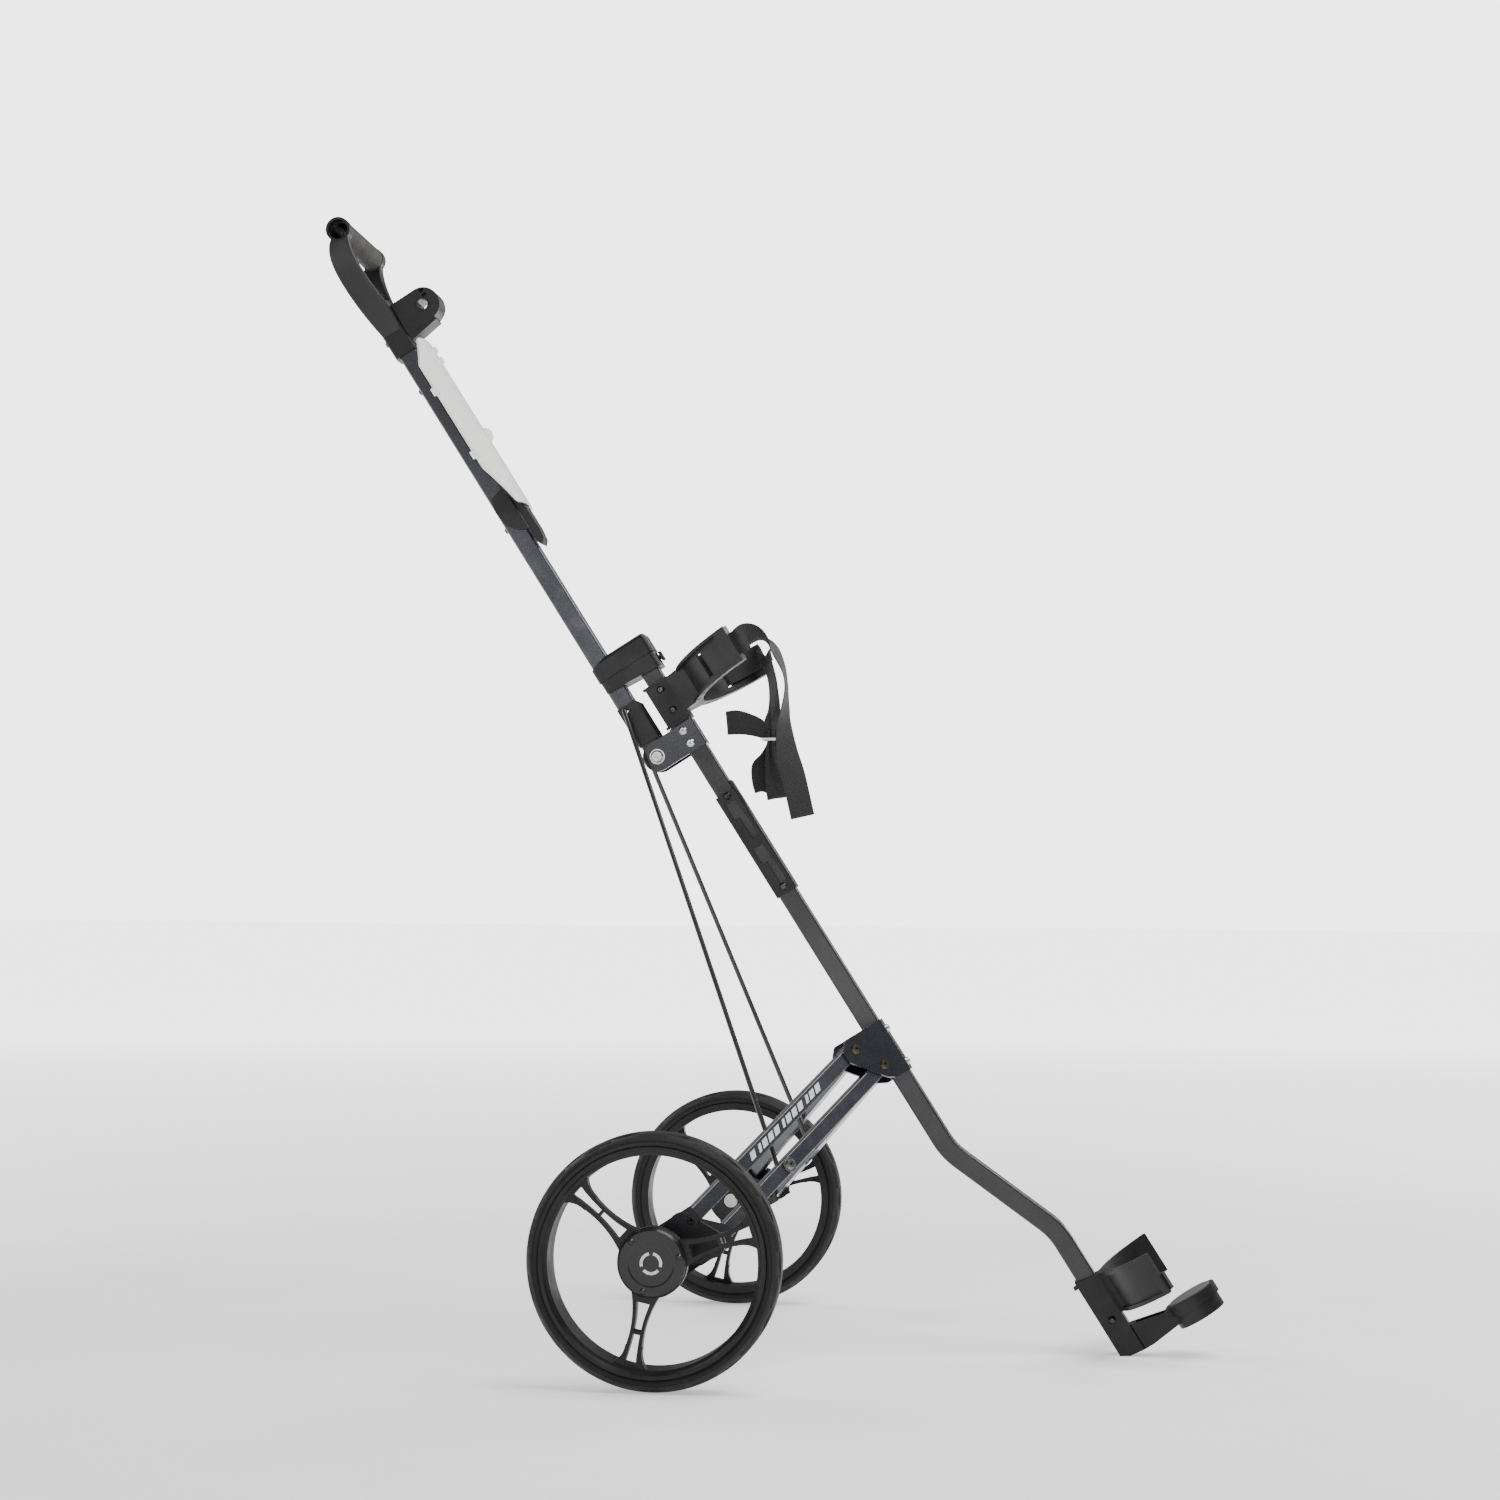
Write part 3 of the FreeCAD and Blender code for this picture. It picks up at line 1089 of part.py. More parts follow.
def pin_recess():
    """Flat for the nuts and heads of the carrier's pins where they would meet the web."""
    parts = []
    for x, y in (UPPER_OUTER, LOWER_OUTER):
        parts.append(along_z(6.6, x, y, PLATE_OUT - CARRIER_PLATE - 12, PLATE_OUT - CARRIER_PLATE))
        parts.append(along_z(6.6, x, y, PLATE_IN + CARRIER_PLATE, PLATE_IN + CARRIER_PLATE + 12))
    return fuse(*parts)


def carrier_pins():
    found = []
    for x, y in (UPPER_OUTER, LOWER_OUTER):
        found += hinge_pin(x, y, PLATE_IN + CARRIER_PLATE, PLATE_OUT - CARRIER_PLATE, PIN_R)
    return group([leg_local(s) for s in found])


# ---------------------------------------------------------------- wheel, about its own centre, outboard along -Y
def turned(profile):
    """Solid turned about Y from (radius, outboard distance) points."""
    face = Part.Face(polygon([V(r, -w, 0) for r, w in profile]))
    return face.revolve(CENTRE, AXIS_Y, 360)


def tyre():
    half = TYRE_WIDTH / 2
    base = WHEEL_R - TYRE_DEPTH
    edges = []
    corners = [V(base, half - 2.5, 0), V(base + 3, half, 0), V(WHEEL_R - 7, half - 1.0, 0),
               V(WHEEL_R, half * 0.42, 0)]
    mirror = [V(p.x, -p.y, 0) for p in reversed(corners)]
    edges.append(Part.LineSegment(corners[0], corners[1]).toShape())
    edges.append(Part.LineSegment(corners[1], corners[2]).toShape())
    edges.append(Part.Arc(corners[2], V(WHEEL_R - 2.0, half * 0.74, 0), corners[3]).toShape())
    edges.append(Part.LineSegment(corners[3], mirror[0]).toShape())
    edges.append(Part.Arc(mirror[0], V(WHEEL_R - 2.0, -half * 0.74, 0), mirror[1]).toShape())
    edges.append(Part.LineSegment(mirror[1], mirror[2]).toShape())
    edges.append(Part.LineSegment(mirror[2], mirror[3]).toShape())
    edges.append(Part.LineSegment(mirror[3], corners[0]).toShape())
    return Part.Face(Part.Wire(edges)).revolve(CENTRE, AXIS_Y, 360)


def spoke_side(r0, half0, r1, half1, r2, half2, sign):
    return Part.Arc(V(r0, 0, sign * half0), V(r1, 0, sign * half1), V(r2, 0, sign * half2)).toShape()


def spoke_face(stations, y):
    """Face with curved sides through three (radius, half width) stations, square to Y."""
    (r0, h0), (r1, h1), (r2, h2) = stations
    low = spoke_side(r0, h0, r1, h1, r2, h2, -1)
    high = spoke_side(r0, h0, r1, h1, r2, h2, 1)
    ends = [Part.LineSegment(V(r0, 0, -h0), V(r0, 0, h0)).toShape(),
            Part.LineSegment(V(r2, 0, -h2), V(r2, 0, h2)).toShape()]
    wire = Part.Wire(Part.__sortEdges__([low, high] + ends))
    face = Part.Face(wire)
    face.translate(V(0, y, 0))
    return face


def spoke():
    """Two ribs that draw together at mid length, with a cross link, and flare at the rim."""
    rim_r = WHEEL_R - TYRE_DEPTH - RIM_DEPTH
    middle = (HUB_R + rim_r) / 2
    blade = spoke_face([(HUB_R - 4, 13.5), (middle, 6.6), (rim_r - 8, 10.0)], -14.0).extrude(V(0, 12.0, 0))
    flare = spoke_face([(rim_r - 20, 8.2), (rim_r - 7, 11.5), (rim_r + 1.5, 20.0)], -13.0).extrude(V(0, 10.0, 0))
    slots = [spoke_face([(HUB_R + 5, 6.2), (HUB_R + 16, 4.4), (middle - 1.5, 3.4)], -20.0).extrude(V(0, 30, 0)),
             spoke_face([(middle + 1.5, 3.4), (middle + 14, 3.9), (rim_r - 2.5, 5.6)], -20.0).extrude(V(0, 30, 0))]
    return blade.fuse(flare).cut(slots)


def rim():
    base = WHEEL_R - TYRE_DEPTH
    rim_r = base - RIM_DEPTH
    half = RIM_WIDTH / 2
    barrel = turned([(rim_r, -half), (base, -half), (base, half), (rim_r + 4.5, half), (rim_r + 2.6, half - 2.5),
                     (rim_r, half - 4)])
    hub = turned([(6, -half + 1), (14, -half + 1), (14, 3), (HUB_R, 3), (HUB_R, HUB_FACE - 2),
                  (HUB_R - 2, HUB_FACE), (6, HUB_FACE)])
    spokes = []
    for i in range(SPOKES):
        arm = spoke()
        arm.rotate(CENTRE, AXIS_Y, -SPOKE_FIRST - 360.0 / SPOKES * i)
        spokes.append(arm)
    body = barrel.fuse([hub] + spokes)
    return body.cut(hub_cavity()).removeSplitter()


def hub_cavity():
    """Bearing seats and the axle's passage."""
    half = RIM_WIDTH / 2 - 1
    seats = [(half, half - BEARING_WIDTH), (-HUB_FACE, -HUB_FACE + BEARING_WIDTH)]
    shape = along_y(AXLE_R + 2.5, 0, 0, -HUB_FACE - 5, half + 5)
    for y0, y1 in seats:
        shape = shape.fuse(along_y(BEARING_R, 0, 0, y0, y1))
    shape = shape.fuse(along_y(BEARING_R, 0, 0, -HUB_FACE - 6, -HUB_FACE + 0.5))
    return shape.fuse(along_y(BEARING_R, 0, 0, half - 0.5, half + 6))


def wheel_bearings():
    half = RIM_WIDTH / 2 - 1
    found = []
    for y0, y1 in ((half - BEARING_WIDTH, half), (-HUB_FACE, -HUB_FACE + BEARING_WIDTH)):
        found.append(along_y(BEARING_R - 0.02, 0, 0, y0, y1).cut(along_y(AXLE_R + RUN_PLAY, 0, 0, y0 - 1, y1 + 1)))
    return group(found)


CAP_FACE = 5.5
CAP_SCREW_R = 27.0


def cap_screw_places():
    places = []
    for i in range(SPOKES):
        a = radians(SPOKE_FIRST - 4 + 360.0 / SPOKES * i)
        places.append(V(CAP_SCREW_R * cos(a), 0, CAP_SCREW_R * sin(a)))
    return places


def hub_cap():
    """Shallow dished cap on the hub's outer face, hollow over the axle's nut."""
    face = HUB_FACE + CAP_FACE
    body = turned([(0, HUB_FACE), (HUB_R - 1, HUB_FACE), (HUB_R - 1, face - 2.0), (HUB_R - 3, face),
                   (HUB_R - 11, face), (HUB_R - 12.2, face - 0.8), (0, face - 0.8)])
    hollow = turned([(0, HUB_FACE - 1), (9.5, HUB_FACE - 1), (9.5, face - 2.0), (0, face - 2.0)])
    tools = [cylinder(SCREW_R - 0.4, V(p.x, -40, p.z), V(p.x, 0, p.z)) for p in cap_screw_places()]
    return body.cut(hollow).cut(tools)


def cap_screws():
    face = HUB_FACE + CAP_FACE
    return group([screw(V(p.x, -face, p.z), AXIS_Y, CAP_FACE, SCREW_R - 0.45, 3.0, 1.4) for p in cap_screw_places()])


def axle():
    """Bolt from the carrier through both bearings, with a lock nut under the cap."""
    inner = TRACK_HALF - carrier_web_face() + 22
    outer = -HUB_FACE - 3.0
    shank = along_y(AXLE_R, 0, 0, outer, inner)
    head = along_y(7.5, 0, 0, inner, inner + 4.5)
    nut = hexagon_nut(V(0, -HUB_FACE - 0.3, 0), V(0, -1, 0), 7.0, 2.7, AXLE_R)
    return fuse(shank, head, nut)


def at_wheel(shape):
    moved = shape.copy()
    moved.translate(V(0, -TRACK_HALF, WHEEL_R))
    return moved


# ---------------------------------------------------------------- all nodes
def centre_nodes():
    """Pieces on the middle of the trolley, drawn in the tube frame."""
    makers = [main_tube, latch_cap, latch_body, latch_button, latch_spring, upper_bag_bracket,
              upper_bracket_screws, pivot_bracket, pivot_bracket_rivets, pivot_bolt, pivot_nut,
              accessory_clip, accessory_clip_screws, leg_bracket_outer, leg_bracket_inner,
              leg_bracket_bolts, leg_hinge_pins, lower_bag_bracket, lower_bracket_screws, base_foot,
              foot_pad, lower_bag_strap, handle_tube, handle_yoke, grip_cover,
              umbrella_mount, umbrella_insert, handle_screws, rod_block, card_console, card_cover,
              card_clips]
    return {maker.__name__: stand(maker()) for maker in makers}


def strap_nodes():
    return {"right_bag_strap": strap_band(-1, RIGHT_STRAP), "left_bag_strap": strap_band(1, LEFT_STRAP),
            "strap_bundle": strap_bundle(), "strap_tie": strap_tie()}


def right_side():
    """Pieces of the right leg and wheel, on the standing trolley."""
    found = {"upper_bar": leg(leg_bar(UPPER_PIN, [])), "lower_bar": leg(leg_bar(LOWER_PIN, [ROD_REACH])),
             "rod_bolt": leg(rod_bolt()), "rod": rod(), "wheel_carrier": stand(wheel_carrier()),
             "carrier_pins": stand(carrier_pins())}
    for maker in (axle, rim, tyre, wheel_bearings, hub_cap, cap_screws):
        found[maker.__name__] = at_wheel(maker())
    return found


def all_nodes():
    nodes = centre_nodes()
    nodes.update(strap_nodes())
    for name, shape in right_side().items():
        nodes["right_" + name] = shape
        nodes["left_" + name] = other_side(shape)
    return nodes


def base_centre(nodes):
    """Centre of the base of the box around everything."""
    box = FreeCAD.BoundBox()
    for shape in nodes.values():
        box.add(shape.optimalBoundingBox(False))
    return V((box.XMin + box.XMax) / 2, 0, box.ZMin)


def main():
    os.makedirs("parts", exist_ok=True)
    nodes = all_nodes()
    origin = base_centre(nodes)
    for name, shape in nodes.items():
        placed = shape.copy()
        placed.translate(origin * -1)
        placed.exportStep("parts/" + name + ".step")
    return nodes, origin


NODES, ORIGIN = main()
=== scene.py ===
import math

import bmesh
import bpy
import numpy as np
from mathutils import Matrix, Vector


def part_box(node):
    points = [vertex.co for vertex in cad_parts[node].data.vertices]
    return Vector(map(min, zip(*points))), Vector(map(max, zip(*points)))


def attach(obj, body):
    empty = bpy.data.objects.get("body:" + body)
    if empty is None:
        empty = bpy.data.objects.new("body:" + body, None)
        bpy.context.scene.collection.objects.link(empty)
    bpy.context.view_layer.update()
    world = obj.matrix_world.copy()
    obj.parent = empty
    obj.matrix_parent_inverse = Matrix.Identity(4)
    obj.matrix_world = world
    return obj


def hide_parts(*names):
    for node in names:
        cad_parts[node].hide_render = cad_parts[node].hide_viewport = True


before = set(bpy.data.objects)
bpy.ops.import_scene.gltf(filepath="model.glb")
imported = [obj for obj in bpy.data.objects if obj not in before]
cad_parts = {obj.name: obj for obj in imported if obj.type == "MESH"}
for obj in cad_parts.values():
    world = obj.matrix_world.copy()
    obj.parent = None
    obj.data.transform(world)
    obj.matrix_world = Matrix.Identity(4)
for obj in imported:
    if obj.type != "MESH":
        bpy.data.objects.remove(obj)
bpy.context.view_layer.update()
MM = 0.001

# ---------------------------------------------------------------- places in the row frame
RIM_LOW, RIM_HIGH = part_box("right_rim")
WHEEL_X = (RIM_LOW.x + RIM_HIGH.x) / 2
WHEEL_Z = (RIM_LOW.z + RIM_HIGH.z) / 2
WHEEL_Y = (RIM_LOW.y + RIM_HIGH.y) / 2      # right wheel's middle plane, negative
# the right upper bar's two hinge points, and the direction square to the leg's plane
UPPER_INNER = Vector((88.5, -40.5, 302.3)) * MM
UPPER_OUTER = Vector((-48.4, -251.3, 149.7)) * MM
LEG_NORMAL = Vector((-0.6155108, 0.6836560, -0.3921236))


def mirrored(points, sign):
    """Points of the right side, on the side of that sign (-1 right, 1 left)."""
    return [Vector((p[0], -p[1] * sign, p[2])) for p in points]


# ---------------------------------------------------------------- material building
class Shader:
    """One procedural material: a Principled shader and the nodes that feed it."""

    def __init__(self, name, **sockets):
        self.material = bpy.data.materials.new(name)
        self.material.use_nodes = True
        self.tree = self.material.node_tree
        self.bsdf = self.tree.nodes["Principled BSDF"]
        for socket, value in sockets.items():
            self.bsdf.inputs[socket.replace("_", " ")].default_value = value
        self.coordinates = self.add("ShaderNodeTexCoord").outputs["Object"]

    def add(self, kind, inputs=None, **settings):
        node = self.tree.nodes.new(kind)
        for key, value in settings.items():
            setattr(node, key, value)
        for key, value in (inputs or {}).items():
            if isinstance(value, bpy.types.NodeSocket):
                self.tree.links.new(value, node.inputs[key])
            else:
                node.inputs[key].default_value = value
        return node

    def noise(self, scale, detail=2.0, stretch=None, rough=0.5):
        vector = self.coordinates
        if stretch is not None:
            vector = self.add("ShaderNodeVectorMath", {0: vector, 1: stretch},
                              operation="MULTIPLY").outputs[0]
        return self.add("ShaderNodeTexNoise", {"Vector": vector, "Scale": scale, "Detail": detail,
                                               "Roughness": rough}).outputs["Fac"]

    def spread(self, value, low, high, start=0.3, end=0.7):
        """A value from a texture, mapped to a range."""
        return self.add("ShaderNodeMapRange", {"Value": value, "From Min": start, "From Max": end,
                                               "To Min": low, "To Max": high}).outputs["Result"]

    def mix(self, factor, a, b):
        node = self.add("ShaderNodeMix", data_type="RGBA")
        for index, value in ((0, factor), (6, a), (7, b)):
            if isinstance(value, bpy.types.NodeSocket):
                self.tree.links.new(value, node.inputs[index])
            else:
                node.inputs[index].default_value = value
        return node.outputs[2]

    def math(self, operation, a, b=0.0):
        return self.add("ShaderNodeMath", {0: a, 1: b}, operation=operation).outputs[0]

    def soft_edges(self, radius):
        return self.add("ShaderNodeBevel", {"Radius": radius}, samples=6).outputs["Normal"]

    def worn(self, soft):
        """1 along sharp edges, broken up by noise, and 0 on the faces."""
        true_normal = self.add("ShaderNodeNewGeometry").outputs["Normal"]
        facing = self.add("ShaderNodeVectorMath", {0: soft, 1: true_normal}, operation="DOT_PRODUCT")
        edge = self.spread(facing.outputs["Value"], 1.0, 0.0, 0.86, 0.99)
        patch = self.spread(self.noise(90.0, 3.0), 0.0, 1.0, 0.46, 0.6)
        return self.math("MULTIPLY", edge, patch)

    def bump(self, height, strength, distance, normal=None):
        inputs = {"Height": height, "Strength": strength, "Distance": distance}
        if normal is not None:
            inputs["Normal"] = normal
        return self.add("ShaderNodeBump", inputs).outputs["Normal"]

    def use(self, color=None, roughness=None, normal=None):
        for socket, value in (("Base Color", color), ("Roughness", roughness), ("Normal", normal)):
            if value is not None:
                self.tree.links.new(value, self.bsdf.inputs[socket])
        return self.material


def rgb(r, g, b):
    return (r, g, b, 1.0)


def flaked_paint(name, base, flake, rough, metallic, coat, shift, edge=0.0005):
    """Clear-coated metallic paint with fine flakes, slight orange peel and rubbed edges."""
    s = Shader(name, Metallic=metallic, Coat_Weight=coat, Coat_Roughness=0.06)
    cells = s.add("ShaderNodeTexVoronoi", {"Vector": s.coordinates, "Scale": 2400.0}).outputs["Color"]
    pick = s.add("ShaderNodeSeparateColor", {0: cells}).outputs[0]
    bright = s.spread(pick, 0.0, 1.0, 0.8, 1.0)
    cloud = s.spread(s.noise(18.0, 4.0), 0.0, 1.0)
    ground = s.mix(cloud, rgb(*base), rgb(*shift))
    color = s.mix(s.math("MULTIPLY", bright, 0.45), ground, rgb(*flake))
    soft = s.soft_edges(edge)
    color = s.mix(s.math("MULTIPLY", s.worn(soft), 0.2), color, rgb(0.22, 0.22, 0.22))
    roughness = s.spread(s.noise(60.0, 5.0), rough * 0.8, rough * 1.3)
    normal = s.bump(s.noise(320.0, 2.0), 0.10, 0.0003, s.bump(pick, 0.06, 0.0001, soft))
    return s.use(color, roughness, normal)


def moulded(name, base, rough, grain=0.35, scale=1300.0, edge=0.0005, wear=0.35, coat=0.0):
    """Moulded plastic: fine leathery grain, cloudy roughness, paler rubbed edges."""
    s = Shader(name, Coat_Weight=coat, Coat_Roughness=0.15, Specular_IOR_Level=0.32)
    cloud = s.spread(s.noise(25.0, 5.0), 0.0, 1.0)
    lighter = tuple(c * 1.5 + 0.002 for c in base)
    soft = s.soft_edges(edge)
    color = s.mix(cloud, rgb(*base), rgb(*lighter))
    color = s.mix(s.math("MULTIPLY", s.worn(soft), wear), color, rgb(0.07, 0.07, 0.073))
    clouds = s.math("MULTIPLY", s.noise(40.0, 4.0), 0.7)
    specks = s.math("MULTIPLY", s.noise(700.0, 2.0), 0.3)
    roughness = s.spread(s.math("ADD", clouds, specks), rough * 0.8, rough * 1.25, 0.35, 0.65)
    cells = s.add("ShaderNodeTexVoronoi", {"Vector": s.coordinates, "Scale": scale}).outputs["Distance"]
    normal = s.bump(cells, grain, 0.00012, s.bump(s.noise(110.0, 3.0), 0.08, 0.0006, soft))
    return s.use(color, roughness, normal)


def metal(name, base, rough, dark, stretch=(1.0, 1.0, 1.0), edge=0.0003):
    """Plated or blackened steel with fine turning marks and darker tarnish."""
    s = Shader(name, Metallic=1.0)
    tarnish = s.spread(s.noise(120.0, 5.0), 0.0, 1.0, 0.45, 0.7)
    color = s.mix(tarnish, rgb(*base), rgb(*dark))
    roughness = s.spread(s.noise(900.0, 3.0, stretch), rough * 0.7, rough * 1.4)
    normal = s.bump(s.noise(2200.0, 2.0, stretch), 0.15, 0.0001, s.soft_edges(edge))
    return s.use(color, roughness, normal)


def rubber(name, base, rough, scale, dust, depth=0.00025, edge=0.0006):
    """Matte rubber with pores, scuffs and a little dust."""
    s = Shader(name, Specular_IOR_Level=0.24, Sheen_Weight=0.03)
    scuff = s.spread(s.noise(14.0, 6.0, rough=0.65), 0.0, 1.0, 0.42, 0.72)
    color = s.mix(s.math("MULTIPLY", scuff, 0.55), rgb(*base), rgb(*dust))
    roughness = s.spread(s.noise(55.0, 5.0), rough * 0.85, min(rough * 1.2, 1.0))
    normal = s.bump(s.noise(scale, 4.0), 0.3, depth, s.soft_edges(edge))
    return s.use(color, roughness, normal)


def webbing(name):
    """Woven polypropylene webbing, over UVs in metres: U runs along the strap and V across it."""
    s = Shader(name, Specular_IOR_Level=0.35, Sheen_Weight=0.10, Sheen_Roughness=0.4)
    uv = s.add("ShaderNodeTexCoord").outputs["UV"]
    ribs = s.add("ShaderNodeTexWave", {"Vector": uv, "Scale": 225.0, "Distortion": 0.0}, wave_type="BANDS",
                 bands_direction="X").outputs["Fac"]
    ends = s.add("ShaderNodeTexWave", {"Vector": uv, "Scale": 170.0, "Distortion": 0.25, "Detail": 1.0},
                 wave_type="BANDS", bands_direction="Y").outputs["Fac"]
    checks = s.add("ShaderNodeTexChecker", {"Vector": uv, "Scale": 640.0}).outputs["Fac"]
    weave = s.math("ADD", s.math("MULTIPLY", ribs, 0.6), s.math("MULTIPLY", ends, 0.45))
    weave = s.math("ADD", weave, s.math("MULTIPLY", checks, 0.12))
    fuzz = s.noise(2600.0, 3.0)
    color = s.mix(s.spread(weave, 0.0, 1.0, 0.2, 1.1), rgb(0.006, 0.006, 0.007), rgb(0.030, 0.030, 0.032))
    color = s.mix(s.spread(s.noise(30.0, 4.0), 0.0, 0.35), color, rgb(0.045, 0.044, 0.043))
    normal = s.bump(weave, 0.55, 0.0005, s.bump(fuzz, 0.25, 0.0002))
    return s.use(color, s.spread(fuzz, 0.62, 0.9), normal)


def milky(name, base, warm):
    """Milky translucent plastic sheet with faint flow marks."""
    s = Shader(name, Subsurface_Weight=0.35, Subsurface_Scale=0.004, Coat_Weight=0.15, Coat_Roughness=0.2)
    color = s.mix(s.spread(s.noise(12.0, 3.0, (1.0, 2.2, 1.0)), 0.0, 1.0), rgb(*base), rgb(*warm))
    roughness = s.spread(s.noise(80.0, 4.0), 0.28, 0.46)
    normal = s.bump(s.noise(500.0, 3.0), 0.12, 0.0002, s.soft_edges(0.0006))
    return s.use(color, roughness, normal)


def studio_floor():
    """Pale floor that glows a little more far away, so that it meets the backdrop evenly."""
    s = Shader("studio_floor", Specular_IOR_Level=0.2, Emission_Color=rgb(1, 1, 1))
    distance = s.add("ShaderNodeVectorMath", {0: s.coordinates}, operation="LENGTH").outputs["Value"]
    glow = s.spread(distance, 0.55, 3.1, 0.9, 6.5)
    s.tree.links.new(glow, s.bsdf.inputs["Emission Strength"])
    color = s.mix(s.spread(s.noise(1.5, 3.0), 0.0, 1.0), rgb(0.90, 0.90, 0.90), rgb(0.93, 0.93, 0.925))
    return s.use(color, s.spread(s.noise(6.0, 3.0), 0.55, 0.7), None)


PAINT_BAR = flaked_paint("charcoal_flake_paint", (0.016, 0.018, 0.024), (0.16, 0.18, 0.22), 0.34, 0.2, 0.7,
                         (0.024, 0.027, 0.036))
PAINT_MAIN = flaked_paint("satin_black_paint", (0.010, 0.010, 0.012), (0.05, 0.05, 0.056), 0.40, 0.1, 0.3,
                          (0.017, 0.017, 0.020))
PAINT_BRACKET = flaked_paint("gloss_bracket_paint", (0.007, 0.008, 0.012), (0.06, 0.07, 0.10), 0.24, 0.2, 1.0,
                             (0.012, 0.014, 0.021))
PAINT_ROD = flaked_paint("rod_coating", (0.012, 0.012, 0.014), (0.06, 0.06, 0.065), 0.38, 0.2, 0.4,
                         (0.018, 0.018, 0.021))
PLASTIC = moulded("black_moulded_plastic", (0.007, 0.007, 0.008), 0.42)
PLASTIC_RIM = moulded("rim_plastic", (0.006, 0.006, 0.007), 0.44, grain=0.25, scale=1600.0, wear=0.25)
PLASTIC_CARRIER = moulded("carrier_plastic", (0.011, 0.011, 0.014), 0.45, grain=0.5, scale=1000.0)
PLASTIC_CAP = moulded("gloss_cap_plastic", (0.005, 0.005, 0.006), 0.34, grain=0.12, scale=1800.0, wear=0.2,
                       coat=0.3)
STEEL_ZINC = metal("zinc_plated_steel", (0.62, 0.62, 0.60), 0.30, (0.36, 0.35, 0.33))
STEEL_ROD = metal("dull_bolt_steel", (0.22, 0.22, 0.22), 0.34, (0.10, 0.10, 0.095))
STEEL_DARK = metal("blackened_screw_steel", (0.10, 0.088, 0.066), 0.32, (0.035, 0.033, 0.03))
RUBBER_TYRE = rubber("tyre_rubber", (0.012, 0.012, 0.013), 0.58, 1500.0, (0.026, 0.0255, 0.024))
RUBBER_GRIP = rubber("grip_rubber", (0.022, 0.021, 0.017), 0.70, 2400.0, (0.040, 0.039, 0.033))
RUBBER_PAD = rubber("pad_rubber", (0.10, 0.10, 0.098), 0.62, 1500.0, (0.16, 0.158, 0.152))
WEBBING = webbing("black_webbing")
MILKY = milky("milky_cover_plastic", (0.78, 0.775, 0.74), (0.84, 0.83, 0.78))
WHITE = milky("white_clip_plastic", (0.88, 0.88, 0.86), (0.92, 0.92, 0.90))


def print_white():
    s = Shader("white_print", Specular_IOR_Level=0.4)
    worn = s.spread(s.noise(400.0, 4.0), 0.0, 1.0, 0.4, 0.62)
    color = s.mix(worn, rgb(0.80, 0.81, 0.82), rgb(0.62, 0.63, 0.65))
    return s.use(color, s.spread(s.noise(900.0, 2.0), 0.35, 0.5), s.bump(s.noise(1500.0, 2.0), 0.15, 0.0001))


PRINT = print_white()

SIDE_MATERIALS = {"upper_bar": PAINT_BAR, "lower_bar": PAINT_BAR, "rod_bolt": STEEL_ROD, "rod": PAINT_ROD,
                  "wheel_carrier": PLASTIC_CARRIER, "carrier_pins": STEEL_DARK, "axle": STEEL_ZINC,
                  "rim": PLASTIC_RIM, "tyre": RUBBER_TYRE, "wheel_bearings": STEEL_ZINC,
                  "hub_cap": PLASTIC_CAP,
                  "cap_screws": STEEL_DARK}
NODE_MATERIALS = {
    "main_tube": PAINT_MAIN, "handle_tube": PAINT_BAR,
    "latch_cap": PLASTIC, "latch_body": PLASTIC, "latch_button": PLASTIC, "latch_spring": STEEL_ZINC,
    "upper_bag_bracket": PLASTIC, "upper_bracket_screws": STEEL_DARK, "pivot_bracket": PAINT_BRACKET,
    "pivot_bracket_rivets": STEEL_ZINC, "pivot_bolt": STEEL_ZINC, "pivot_nut": STEEL_ZINC,
    "accessory_clip": PLASTIC, "accessory_clip_screws": STEEL_DARK, "leg_bracket_outer": PAINT_BRACKET,
    "leg_bracket_inner": PAINT_BRACKET, "leg_bracket_bolts": STEEL_ZINC, "leg_hinge_pins": STEEL_DARK,
    "lower_bag_bracket": PLASTIC, "lower_bracket_screws": STEEL_DARK, "base_foot": PLASTIC,
    "foot_pad": RUBBER_PAD, "handle_yoke": PLASTIC, "grip_cover": RUBBER_GRIP, "umbrella_mount": PLASTIC,
    "umbrella_insert": PLASTIC_CAP,
    "handle_screws": STEEL_DARK, "rod_block": PLASTIC, "card_console": PLASTIC, "card_cover": MILKY,
    "card_clips": WHITE, "strap_tie": WHITE, "lower_bag_strap": WEBBING, "right_bag_strap": WEBBING,
    "left_bag_strap": WEBBING, "strap_bundle": WEBBING,
}
for side in ("right_", "left_"):
    for piece, material in SIDE_MATERIALS.items():
        NODE_MATERIALS[side + piece] = material


def dress_nodes():
    """Each CAD node gets its material."""
    for name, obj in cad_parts.items():
        obj.data.materials.clear()
        obj.data.materials.append(NODE_MATERIALS[name])


# ---------------------------------------------------------------- mesh building
def new_piece(name, verts, faces, material, body, replaced=(), uvs=None, smooth=True):
    mesh = bpy.data.meshes.new(name)
    mesh.from_pydata([tuple(v) for v in verts], [], faces)
    mesh.update()
    if uvs is not None:
        layer = mesh.uv_layers.new(name="UVMap")
        for loop in mesh.loops:
            layer.data[loop.index].uv = uvs[loop.vertex_index]
    if smooth:
        mesh.shade_smooth()
        mesh.set_sharp_from_angle(angle=math.radians(38))
    mesh.materials.append(material)
    obj = bpy.data.objects.new(name, mesh)
    bpy.context.scene.collection.objects.link(obj)
    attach(obj, body)
    if replaced:
        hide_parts(*replaced)
    return obj


